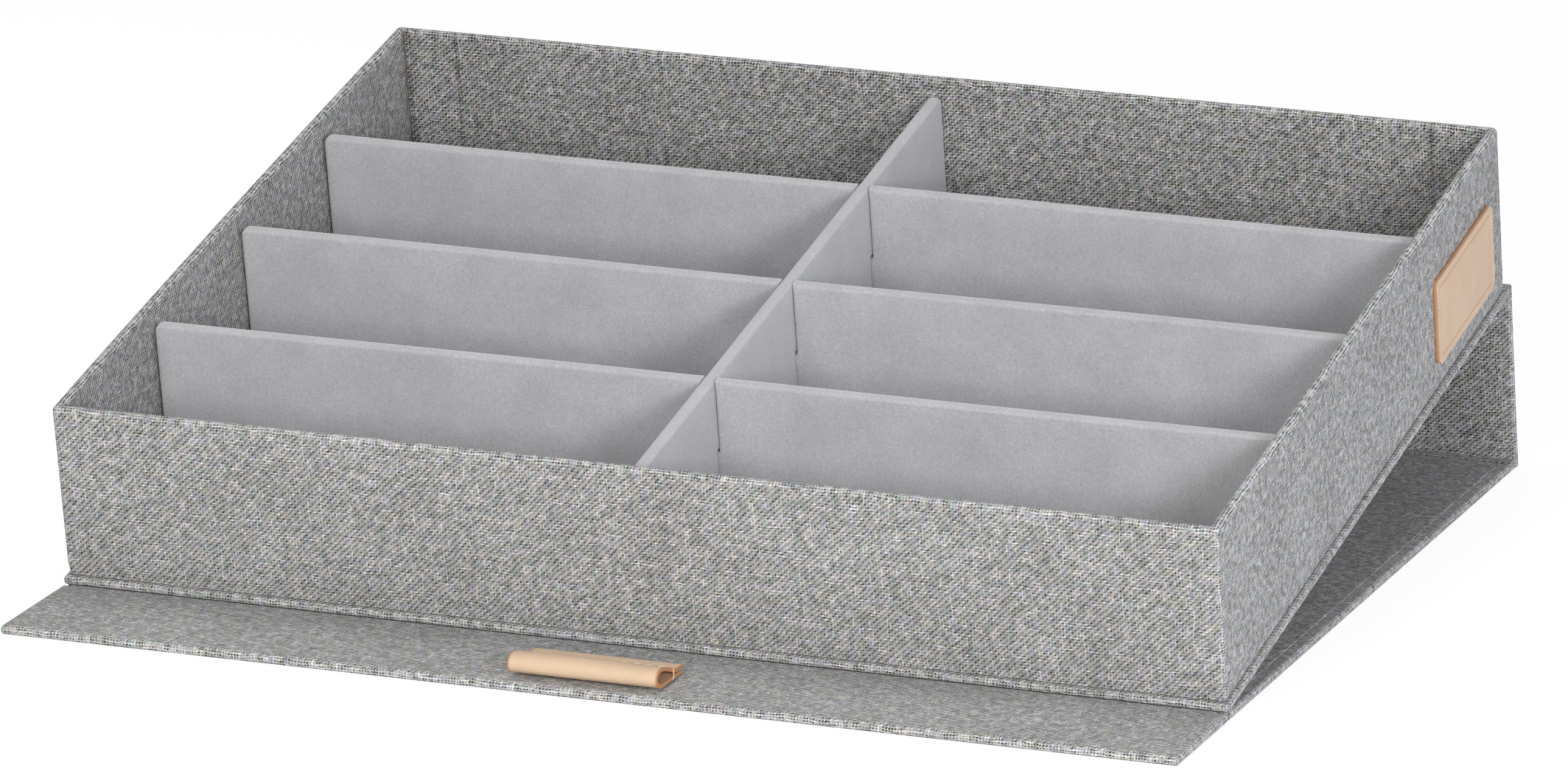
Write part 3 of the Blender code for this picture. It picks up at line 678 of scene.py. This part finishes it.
class GLASSESBOX_OT_tray_skin(bpy.types.Operator):
    """Make the cloth skin of the tray's four walls"""
    bl_idname = "glassesbox.tray_skin"
    bl_label = "Tray skin"

    def execute(self, context):
        place = layout()
        bows, seam = (0.15 * MM, 0.3 * MM, 0.2 * MM, 0.8 * MM), 0.02 * MM
        walls = [wall_strip(side, place, bow) for side, bow in zip(SIDES, bows)]
        skin = merge(join("tray_skin", walls), seam)
        finish_piece(skin, finish_of("linen_look_cloth"), "tray", "cloth_linen",
                     "tray_front_wall", "tray_rear_wall", "tray_left_wall", "tray_right_wall")
        return {"FINISHED"}


class GLASSESBOX_OT_boards(bpy.types.Operator):
    """Make the four cloth-wrapped boards of the cover and their facing sheets"""
    bl_idname = "glassesbox.boards"
    bl_label = "Cover boards"

    def execute(self, context):
        cover, place, linen = context.scene.glassesbox_cover, layout(), finish_of("linen_look_cloth")
        t, half, wide = place["board"], place["half"], place["cover_width"]
        lid_rear, lid_front = -half - cover.hinge_gap, -place["lid_reach"]
        lid_middle, lid_length = (lid_rear + lid_front) / 2, lid_rear - lid_front
        flap_rear = lid_front - place["flap_start"]
        base_middle = place["base_depth"] / 2

        def on_spine(lift):
            """The spine stands upright in the tray's coordinates, its inner face to the front."""
            def carry(p):
                depth, up = place["spine_axis"] - p[:, 2] - lift, t - place["spine"] / 2 + p[:, 1]
                return tray_to_world(np.stack([p[:, 0], depth, up], -1), place)
            return carry

        # Each piece's own part of the cloth: the last pair shifts its UV map, in metres.
        boards = (
            ("base", "tray", place["base_depth"], in_tray(place, base_middle, half), (0.0, 0.0)),
            ("spine", "spine", place["spine"], on_spine(0.0), (0.07, 0.4)),
            ("lid", "lid", lid_length, on_lid(place, lid_middle, 0.0), (0.11, 0.9)),
            ("flap", "flap", cover.flap, on_lid(place, flap_rear - cover.flap / 2, 0.0), (0.19, 1.3)),
        )
        step, corner, edge = 4 * MM, 0.9 * MM, 1.15 * MM
        for name, body, length, carry, shift in boards:
            outline = rounded_rectangle(wide, length, corner, step, 4)
            piece = slab(name + "_board_cloth", outline, t, edge, carry, 6, shift)
            finish_piece(piece, linen, body, "cloth_linen", name + "_board")

        facing_wide = wide - 2 * cover.facing_inset
        lift = half + GLUE + cover.facing / 2
        margins = 2 * cover.hinge_inset
        flap_margin, proud = 1 * MM, 0.05 * MM
        flap_facing = cover.flap - 2 * flap_margin
        flap_middle = flap_rear - flap_margin - flap_facing / 2

        def pressed_front(p):
            """The flap's facing lies pressed into the board's cloth at its front edge."""
            sink = (0.5 - p[:, 1:2] / flap_facing) * (GLUE + cover.facing - proud)
            return on_lid(place, flap_middle, lift)(p - np.array([0, 0, 1.0]) * sink)

        under_base = in_tray(place, base_middle, half - lift)
        facings = (
            ("base", "tray", place["base_depth"] - margins, under_base, (0.02, 2.0)),
            ("spine", "spine", place["spine"] - t - margins, on_spine(lift), (0.05, 2.4)),
            ("lid", "lid", lid_length - margins, on_lid(place, lid_middle, lift), (0.03, 2.8)),
            ("flap", "flap", flap_facing, pressed_front, (0.27, 3.2)),
        )
        corner, edge = 0.4 * MM, 0.12 * MM
        for name, body, length, carry, shift in facings:
            outline = rounded_rectangle(facing_wide, length, corner, step, 2)
            piece = slab(name + "_facing_cloth", outline, cover.facing, edge, carry, 3, shift)
            # Painted shade: the facings inside the closed box, all but the flap's, get the darker gaps of
            # the cloth inside.
            mark(piece, "inner", np.full(len(piece.data.vertices), float(body != "flap")))
            finish_piece(piece, linen, body, "cloth_linen", name + "_facing")
        return {"FINISHED"}


def divider_outline(length, low, top, radius, slots, slot_half, slot_level, from_top):
    """Upright outline of a divider, anticlockwise: square feet, round top corners, half-lap slots."""
    half = length / 2

    def cuts(edge, way):
        """The corners of the slots cut in from an edge, met from left (1) or right (-1)."""
        return [(middle + way * side * slot_half, level) for middle in slots[::way]
                for side, level in ((-1, edge), (-1, slot_level), (1, slot_level), (1, edge))]

    def corner(sign, degrees):
        turn = np.radians(np.linspace(degrees, degrees + 90, 7))
        x, z = sign * (half - radius) + radius * np.cos(turn), top - radius + radius * np.sin(turn)
        return list(zip(x, z))

    line = [(-half, low)] + ([] if from_top else cuts(low, 1)) + [(half, low)]
    line += corner(1, 0) + (cuts(top, -1) if from_top else []) + corner(-1, 90)
    spacing = 3 * MM
    return refine(line, spacing)


class GLASSESBOX_OT_dividers(bpy.types.Operator):
    """Make the velour dividers, half-lapped where they cross, and the floor lining"""
    bl_idname = "glassesbox.dividers"
    bl_label = "Dividers and lining"

    def execute(self, context):
        tray, cover = context.scene.glassesbox_tray, context.scene.glassesbox_cover
        place, velour = layout(), finish_of("velour_pile")
        top, low = place["rim"] - tray.divider_drop, tray.floor_level + GLUE
        middle = (top + low) / 2
        inner_width, inner_depth = tray.width - 2 * tray.wall, tray.depth - 2 * tray.wall
        front = cover.projection + tray.wall
        compartment = inner_depth / 4
        play, edge, bow = 0.12 * MM, 1.1 * MM, 0.25 * MM
        slot = tray.divider / 2 + play
        names = ("cross_divider_front", "cross_divider_middle", "cross_divider_rear")
        for number, name in enumerate(names, 1):
            depth = front + compartment * number
            outline = divider_outline(inner_width - 2 * FIT, low, top, tray.divider_corner, [0.0], slot,
                                      middle - FIT, True)

            def stand_across(p, depth=depth):
                """Each cross divider bows by its own part of a sine, set by its depth."""
                length_share, depth_share = 9.0, 40.0
                bend = bow * np.sin(p[:, 0] / inner_width * length_share + depth * depth_share)
                return tray_to_world(np.stack([p[:, 0], depth - p[:, 2] + bend, p[:, 1]], -1), place)

            piece = slab(name + "_velour", outline, tray.divider, edge, stand_across, 6)
            finish_piece(piece, velour, "tray", "velour_grey", name)

        crossings = [compartment * number - inner_depth / 2 for number in (1, 2, 3)]
        outline = divider_outline(inner_depth - 2 * FIT, low, top, tray.divider_corner, crossings, slot,
                                  middle + FIT, False)

        def stand_along(p):
            depth = front + inner_depth / 2 + p[:, 0]
            return tray_to_world(np.stack([p[:, 2], depth, p[:, 1]], -1), place)

        piece = slab("long_divider_velour", outline, tray.divider, edge, stand_along, 6)
        finish_piece(piece, velour, "tray", "velour_grey", "long_divider")

        lining, corner, edge, step = 1.2 * MM, 0.5 * MM, 0.4 * MM, 6 * MM
        outline = rounded_rectangle(inner_width - 2 * FIT, inner_depth - 2 * FIT, corner, step, 2)
        carry = in_tray(place, front + inner_depth / 2, tray.floor_level - lining / 2)
        piece = slab("floor_lining_velour", outline, lining, edge, carry, 3)
        finish_piece(piece, velour, "tray", "velour_grey", "tray_floor_lining")
        bottom = frame["nodes"]["tray_bottom"].data.materials
        bottom.clear()
        bottom.append(finish_of("pressed_grey_board"))
        return {"FINISHED"}


def strip_section(line, thickness, steps=4):
    """Closed section round a line: both faces at half the thickness, with half-round ends."""
    line = np.asarray(line, float)
    along = np.gradient(line, axis=0)
    along /= np.linalg.norm(along, axis=1)[:, None]
    side = np.stack([-along[:, 1], along[:, 0]], -1) * thickness / 2
    turn = np.radians(np.linspace(0, 180, steps + 1))[1:-1]
    end = line[-1] + np.outer(np.cos(turn), side[-1]) + np.outer(np.sin(turn), along[-1]) * thickness / 2
    start = line[0] - np.outer(np.cos(turn), side[0]) - np.outer(np.sin(turn), along[0]) * thickness / 2
    return np.concatenate([line + side, end, (line - side)[::-1], start])


def smooth(points, count):
    """A smooth line through the points: a Catmull-Rom curve read at even steps of its parameter."""
    points = np.asarray(points, float)
    padded = np.concatenate([points[:1], points, points[-1:]])
    place = np.linspace(0, len(points) - 1, count)
    index = np.clip(place.astype(int), 0, len(points) - 2)
    t = (place - index)[:, None]
    a, b, c, d = (padded[index + k] for k in range(4))
    squared, cubed = (2 * a - 5 * b + 4 * c - d) * t ** 2, (3 * b - a - 3 * c + d) * t ** 3
    return 0.5 * (2 * b + (c - a) * t + squared + cubed)


def ribbon(name, line, width, thickness, carry, waver=None):
    """A strip: the section round a line in the Y-Z plane, carried along X and closed at both ends."""
    stations = 60
    section = strip_section(line, thickness)
    x = np.linspace(-width / 2, width / 2, stations)
    grid = np.concatenate([np.broadcast_to(x[:, None, None], (stations, len(section), 1)),
                           np.broadcast_to(section[None], (stations,) + section.shape)], -1).copy()
    if waver is not None:
        grid[..., 1:] += waver(grid)
    travel = np.concatenate([[0.0], np.cumsum(np.linalg.norm(np.diff(section, axis=0), axis=1))])
    uv = np.stack(np.broadcast_arrays(x[:, None], travel[None]), -1) + 5.0  # its own part of the cloth
    points = carry(grid.reshape(-1, 3)).reshape(grid.shape)
    return carried(name, points[:, ::-1], uv[:, ::-1])


def fillet(before, corner, after, radius, steps=8):
    """Arc that rounds a corner between two straight runs, touching both."""
    before, corner, after = (np.asarray(p, float) for p in (before, corner, after))
    one, two = before - corner, after - corner
    one, two = one / np.linalg.norm(one), two / np.linalg.norm(two)
    half = math.acos(float(one @ two)) / 2
    bisector = (one + two) / np.linalg.norm(one + two)
    centre = corner + bisector * radius / math.sin(half)
    begin, end = (corner + way * radius / math.tan(half) - centre for way in (one, two))
    start = math.atan2(begin[1], begin[0])
    sweep = (math.atan2(end[1], end[0]) - start + math.pi) % (2 * math.pi) - math.pi
    angle = start + sweep * np.linspace(0, 1, steps + 1)
    return centre + radius * np.stack([np.cos(angle), np.sin(angle)], -1)


class GLASSESBOX_OT_hinge_cloths(bpy.types.Operator):
    """Make the three strips of cloth that join the boards"""
    bl_idname = "glassesbox.hinge_cloths"
    bl_label = "Hinge cloths"

    def execute(self, context):
        cover, tray = context.scene.glassesbox_cover, context.scene.glassesbox_tray
        place = layout()
        half, t, cloth = place["half"], place["board"], cover.cloth
        lift = GLUE + cloth / 2
        over = half + lift
        bend, lap, short = 1.5 * MM, 4.5 * MM, 0.4 * MM
        wide = place["cover_width"] - 2 * short
        at_spine = in_tray(place, place["spine_axis"], half)
        at_lid, at_flap = on_lid(place, 0.0, 0.0), on_lid(place, -place["lid_reach"], half)

        def strip(name, line, points, carry):
            return ribbon(name + "_hinge_cloth_strip", smooth(line, points), wide, cloth, carry)

        # Spine: a right angle over the base board's rear edge and down the spine.
        head = (cover.projection + tray.depth + FIT - place["spine_axis"], over)
        tail = (over, over - lap)
        line = np.concatenate([[head], fillet(head, (over, over), tail, bend), [tail]])
        spine = strip("spine", line, 30, at_spine)

        # Lid: from the lid's face up the leaning spine.
        tilt = place["tilt"]
        lean = np.array([-math.sin(tilt), math.cos(tilt)])
        face = np.array([-over * math.cos(tilt), -over * math.sin(tilt)])
        corner = face + lean * (over - face[1]) / lean[1]
        head, tail = corner - np.array([lap, 0.0]), corner + lean * lap
        line = np.concatenate([[head], fillet(head, corner, tail, bend), [tail]])
        lid = strip("lid", line, 30, at_lid)

        # Flap: a trough between the lid's front edge and the flap's rear edge.
        bed = -t + FIT + cloth / 2
        one, two, shoulder = -lift, lift - place["flap_start"], -1 * MM
        radius = (one - two) / 3
        trough = ((one, shoulder), (one, bed), (two, bed), (two, shoulder))
        line = np.concatenate([trough[:1], fillet(*trough[:3], radius),
                               fillet(*trough[1:], radius), trough[3:]])
        flap = strip("flap", line, 40, at_flap)

        # Each strip lies between two bodies; its two points, given as (y, z), are carried into the
        # frame's coordinates but not used, and the frame's hinge cloth named for the second body is
        # hidden.
        turns = 2 * MM
        for piece, body, other, carry, start, end in (
                (spine, "tray", "spine", at_spine, (-over * 0.6, over), (over, -over)),
                (lid, "spine", "lid", at_lid, corner + lean * turns, corner - np.array([turns, 0])),
                (flap, "lid", "flap", at_flap, (one, bed), (two, bed))):
            piece.data.materials.append(finish_of("linen_look_cloth"))
            start, end = (tuple(carry(np.array([[0.0, *point]]))[0]) for point in (start, end))
            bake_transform(piece)
            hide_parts(other + "_hinge_cloth")
        return {"FINISHED"}


# The tab's side outline, as shares of its length and of its loop's height: along the flap from the
# tail's end, round the loop, and back down to the tail, whose upper layer lies on the lower.
TAB_LOOP_SHARES = ((0.900, 0.115), (0.750, 0.150), (0.450, 0.150), (0.200, 0.170), (0.070, 0.320),
                   (0.035, 0.560), (0.080, 0.790), (0.190, 0.890), (0.330, 0.820), (0.540, 0.600))
TAB_TAIL_SHARES = ((0.750, 0.150), (0.985, 0.120))


class GLASSESBOX_OT_pull_tab(bpy.types.Operator):
    """Make the folded leather pull tab and its stitches"""
    bl_idname = "glassesbox.pull_tab"
    bl_label = "Pull tab"

    def execute(self, context):
        leather, cover = context.scene.glassesbox_leather, context.scene.glassesbox_cover
        place = layout()
        thick, width = leather.tab_leather, leather.tab_width
        fold = -place["flap_start"] - cover.flap + leather.tab_setback
        seat = 2 * GLUE + cover.facing
        at_flap = on_lid(place, -place["lid_reach"], place["half"])

        def read(shares, lift):
            return [(fold + a * leather.tab_length, seat + lift + max(b * leather.tab_loop, thick / 2))
                    for a, b in shares]

        def waver(grid):
            """The loop stands a little higher in the middle and sags to one end, by a cosine."""
            rise, sag, turns, lag = 0.35 * MM, 0.25 * MM, 5.0, 0.6
            x = grid[..., 0] / width
            high = ramp(grid[..., 2] - seat - 2 * thick, leather.tab_loop)
            return np.stack([0.0 * x, high * (rise * np.cos(x * turns + lag) - sag)], -1)

        line = smooth(read(TAB_LOOP_SHARES, 0.0) + read(TAB_TAIL_SHARES, thick + FIT), 90)
        tab = ribbon("pull_tab_leather", line, width, thick, at_flap, waver)
        x = np.array([v.co.x for v in tab.data.vertices]) - place["middle"]
        cut, blur = 0.4 * MM, 0.3 * MM
        mark(tab, "cut_edge", ramp(np.abs(x) - width / 2 + cut, blur))
        finish_piece(tab, finish_of("vegetable_tanned_leather"), "flap", "leather_tan", "pull_tab")

        # One running stitch in the crease behind the loop, and a turn of thread round each end.
        upper, seam_share = line[len(line) // 2:], 0.63
        at = int(np.argmin(np.abs(upper[:, 0] - fold - seam_share * leather.tab_length)))
        along = upper[at + 1] - upper[at - 1]
        normal = np.array([0.0, -along[1], along[0]]) / np.linalg.norm(along)
        seam = np.array([0.0, *upper[at]]) + normal * thick / 2

        def stitch(begin, end, away):
            """A capsule from begin to end, its ends sunk in the leather, bowed out by a sine."""
            t = np.linspace(0, 1, 13)
            rise = leather.thread * (0.6 * np.sin(math.pi * t) - 0.4)
            centre = begin + (end - begin) * t[:, None] + away * rise[:, None]
            across = np.cross(end - begin, away)
            across /= np.linalg.norm(across)
            angle = np.radians(np.arange(0, 360, 45))
            swell = leather.thread / 2 * np.sqrt(np.clip(1 - (2 * t - 1) ** 6, 0.02, 1))
            ring = np.cos(angle)[:, None] * away + np.sin(angle)[:, None] * across
            grid = centre[:, None] + swell[:, None, None] * ring[None]
            points = at_flap(grid.reshape(-1, 3)).reshape(grid.shape)
            return carried("stitch", points, np.zeros(grid.shape[:2] + (2,)))

        count, margin, space_share, sideways = 11, 1.5 * MM, 0.12, np.array([1.0, 0.0, 0.0])
        run = width - 2 * margin
        pitch = run / count
        stitches = [stitch(seam + sideways * (-run / 2 + pitch * (number + space_share)),
                           seam + sideways * (-run / 2 + pitch * (number + 1 - space_share)), normal)
                    for number in range(count)]
        proud = 0.05 * MM
        for end in (-1, 1):
            high = seam + sideways * end * (width / 2 + proud)
            low = np.array([high[0], high[1], seat + GLUE])
            stitches.append(stitch(high, low, sideways * end))
        thread = merge(join("pull_tab_stitches", stitches))
        finish_piece(thread, finish_of("waxed_linen_thread"), "flap", "thread_cream", "pull_tab_thread")
        return {"FINISHED"}


class GLASSESBOX_OT_label(bpy.types.Operator):
    """Make the bare leather label with its pressed border line"""
    bl_idname = "glassesbox.label"
    bl_label = "Side label"

    def execute(self, context):
        leather, tray = context.scene.glassesbox_leather, context.scene.glassesbox_tray
        place = layout()
        thick, length, height = leather.label_leather, leather.label_length, leather.label_height
        from_rear, from_foot = 13 * MM, 7.8 * MM
        depth = context.scene.glassesbox_cover.projection + tray.depth - from_rear - length / 2
        level = place["board"] + from_foot + height / 2
        face_x = tray.width / 2 + GLUE + thick / 2

        # Rings from the back's edge round to the face and in over the pressed line, which is a
        # raised cosine across.
        line_in, line_half, line_deep, edge = 2.4 * MM, 0.4 * MM, 0.25 * MM, 0.18 * MM
        turn = np.radians(np.linspace(0, 90, 6))
        drawn, side = edge * (1 - np.cos(turn)), thick / 2 - edge
        across = np.linspace(-1, 1, 9)
        draws = np.concatenate([drawn[::-1], drawn, line_in + line_half * across])
        levels = np.concatenate([-side - edge * np.sin(turn)[::-1], side + edge * np.sin(turn),
                                 thick / 2 - line_deep * (0.5 + 0.5 * np.cos(math.pi * across))])
        corner, spacing = leather.label_corner, 3 * MM
        rings = [rounded_rectangle(length, height, corner, spacing, 6, draw) for draw in draws]
        grid = np.stack([np.insert(ring, 2, z, axis=1) for ring, z in zip(rings, levels)])
        on_wall = np.stack([face_x + grid[..., 2], depth + grid[..., 0], level + grid[..., 1]], -1)
        label = merge(carried("side_label_leather", tray_to_world(on_wall, place), grid[..., :2]))
        behind = place["middle"] + face_x + thick / 2 - np.array([v.co.x for v in label.data.vertices])
        cut, blur = 0.13 * MM, 0.15 * MM
        mark(label, "cut_edge", ramp(behind - cut, blur))
        finish_piece(label, finish_of("vegetable_tanned_leather"), "tray", "leather_tan", "side_label")
        return {"FINISHED"}


# Stage


# The camera, solved from the tray's edges: lens in mm, place in metres, and turns in degrees round
# the upright, up from level, and about the line of sight.
CAMERA_LENS = 260.143
CAMERA_PLACE = (1.0296015, -2.8114534, 0.8668246)
CAMERA_TURNS = (20.1007, 15.3560, 0.3149)

# Soft boxes: azimuth from the front to the right and elevation in degrees, width in metres, power
# in watts, colour. Their powers were fitted lamp by lamp.
SOFT_BOXES = (
    ("key_front_right", 38, 14, 0.34, 8.3, (1.0, 1.0, 1.0)),
    ("fill_front", 0, 25, 0.9, 9.1, (1.0, 1.0, 0.99)),
    ("front_low", 10, 8, 0.6, 2.3, (1.0, 1.0, 0.99)),
    ("side_right", 90, 6, 0.7, 7.8, (0.96, 1.0, 1.13)),
    ("side_left", -90, 20, 0.7, 3.0, (1.0, 1.0, 1.0)),
    ("top", 0, 90, 0.7, 7.2, (1.0, 1.0, 0.99)),
    ("rear", 180, 28, 0.8, 4.6, (1.0, 1.0, 1.0)),
)
# Light thrown down on the paper round the box comes back up at its outer walls only: place, width
# and depth in metres, power in watts.
PAPER_LAMPS = (
    ("paper_front", (0.0, -0.42, 0.13), 0.9, 0.2, 0.35),
    ("paper_right", (0.42, 0.05, 0.13), 0.2, 0.7, 0.1),
    ("paper_left", (-0.42, 0.05, 0.13), 0.2, 0.7, 0.4),
)


def area_lamp(name, width, depth, watts, colour=(1.0, 1.0, 1.0)):
    """A rectangular lamp that shines down its own Z axis."""
    lamp = bpy.data.lights.new(name, "AREA")
    lamp.shape = "RECTANGLE"
    lamp.size, lamp.size_y, lamp.energy, lamp.color = width, depth, watts, colour
    obj = bpy.data.objects.new(name, lamp)
    bpy.context.scene.collection.objects.link(obj)
    return obj


def away_from_box(azimuth, elevation):
    """Unit vector from the box, for an azimuth from the front to the right and an elevation."""
    level = math.cos(elevation)
    return Vector((math.sin(azimuth) * level, -math.cos(azimuth) * level, math.sin(elevation)))


def seen_directly(tree):
    """1 where the camera, a reflection or glass looks at a surface, 0 where it lights others."""
    path = node(tree, "LightPath")
    seen = path.outputs["Is Camera Ray"]
    for ray in ("Is Glossy Ray", "Is Transmission Ray"):
        seen = node(tree, "Math", {0: seen, 1: path.outputs[ray]}, operation="MAXIMUM")
    return seen


class GLASSESBOX_OT_stage(bpy.types.Operator):
    """Set the camera, the soft studio light and the white floor"""
    bl_idname = "glassesbox.stage"
    bl_label = "Stage"

    def execute(self, context):
        scene = context.scene
        camera = bpy.data.cameras.new("camera")
        camera.sensor_width, camera.lens = 36.0, CAMERA_LENS
        camera.clip_start, camera.clip_end = 0.1, 30.0
        obj = bpy.data.objects.new("camera", camera)
        scene.collection.objects.link(obj)
        azimuth, elevation, roll = (math.radians(a) for a in CAMERA_TURNS)
        back = away_from_box(azimuth, elevation)
        right = Vector((math.cos(azimuth), math.sin(azimuth), 0.0))
        up = back.cross(right)
        right, up = (right * math.cos(roll) + up * math.sin(roll),
                     up * math.cos(roll) - right * math.sin(roll))
        turn = Matrix((right, up, back)).transposed().to_4x4()
        obj.matrix_world = Matrix.Translation(CAMERA_PLACE) @ turn
        scene.camera = obj

        scene.world = world = bpy.data.worlds.new("studio")
        world.use_nodes = True
        tree = world.node_tree
        tree.nodes.clear()
        seen = seen_directly(tree)
        room = node(tree, "Background", {"Color": (0.92, 0.95, 1.0, 1.0), "Strength": 0.02})
        white = node(tree, "Background", {"Color": (1.0, 1.0, 1.0, 1.0), "Strength": 1.0})
        either = node(tree, "MixShader", {0: seen, 1: room, 2: white})
        node(tree, "OutputWorld", {"Surface": either})

        bm = bmesh.new()
        bmesh.ops.create_grid(bm, x_segments=1, y_segments=1, size=4.0)
        mesh = bpy.data.meshes.new("floor")
        bm.to_mesh(mesh)
        bm.free()
        floor = bpy.data.objects.new("floor", mesh)
        scene.collection.objects.link(floor)
        floor.location = (0.0, 0.0, -0.05 * MM)
        # Seen directly the paper is near white, and it keeps the object's shadow.
        mat, tree = new_tree("white_paper_sweep")
        share = node(tree, "Math", {0: seen_directly(tree), 1: 0.82}, operation="MULTIPLY")
        paper = node(tree, "BsdfDiffuse", {"Color": (0.86, 0.86, 0.86, 1.0)})
        glow = node(tree, "Emission", {"Color": (1.0, 1.0, 1.0, 1.0), "Strength": 1.1})
        either = node(tree, "MixShader", {0: share, 1: paper, 2: glow})
        node(tree, "OutputMaterial", {"Surface": either})
        floor.data.materials.append(mat)

        aim, distance = Vector((0.0, 0.0, 0.05)), 1.6
        for name, azimuth, elevation, width, watts, colour in SOFT_BOXES:
            lamp = area_lamp(name, width, width, watts, colour)
            away = away_from_box(math.radians(azimuth), math.radians(elevation))
            lamp.location = aim + away * distance
            lamp.rotation_euler = away.to_track_quat("Z", "Y").to_euler()
        for name, where, width, depth, watts in PAPER_LAMPS:
            lamp = area_lamp(name, width, depth, watts)
            lamp.location = where
            lamp.visible_camera = False

        scene.view_settings.view_transform = "Standard"
        return {"FINISHED"}


# Add-on


OPERATORS = (GLASSESBOX_OT_tray_skin, GLASSESBOX_OT_boards, GLASSESBOX_OT_dividers,
             GLASSESBOX_OT_hinge_cloths, GLASSESBOX_OT_pull_tab, GLASSESBOX_OT_label, GLASSESBOX_OT_stage)
GROUPS = {"glassesbox_tray": GLASSESBOX_PG_tray, "glassesbox_cover": GLASSESBOX_PG_cover,
          "glassesbox_leather": GLASSESBOX_PG_leather, "glassesbox_finish": GLASSESBOX_PG_finish}


class GLASSESBOX_PT_panel(bpy.types.Panel):
    """Sizes, finishes and steps of the glasses box"""
    bl_label = "Glasses Box"
    bl_idname = "GLASSESBOX_PT_panel"
    bl_space_type = "VIEW_3D"
    bl_region_type = "UI"
    bl_category = "Glasses Box"

    def draw(self, context):
        for name, group in GROUPS.items():
            box = self.layout.box()
            box.label(text=group.__doc__)
            for key in group.__annotations__:
                box.prop(getattr(context.scene, name), key)
        for operator in OPERATORS:
            self.layout.operator(operator.bl_idname)


def register():
    """Make the classes and the scene's settings known."""
    for group in GROUPS.values():
        bpy.utils.register_class(group)
    for operator in OPERATORS + (GLASSESBOX_PT_panel,):
        bpy.utils.register_class(operator)
    for name, group in GROUPS.items():
        setattr(bpy.types.Scene, name, PointerProperty(type=group))


def unregister():
    """Take the settings and classes away again."""
    for name in GROUPS:
        delattr(bpy.types.Scene, name)
    for item in reversed(tuple(GROUPS.values()) + OPERATORS + (GLASSESBOX_PT_panel,)):
        bpy.utils.unregister_class(item)


def main():
    """Make every piece in order."""
    register()
    for operator in OPERATORS:
        family, name = operator.bl_idname.split(".")
        getattr(getattr(bpy.ops, family), name)()


if __name__ == "__main__":
    main()
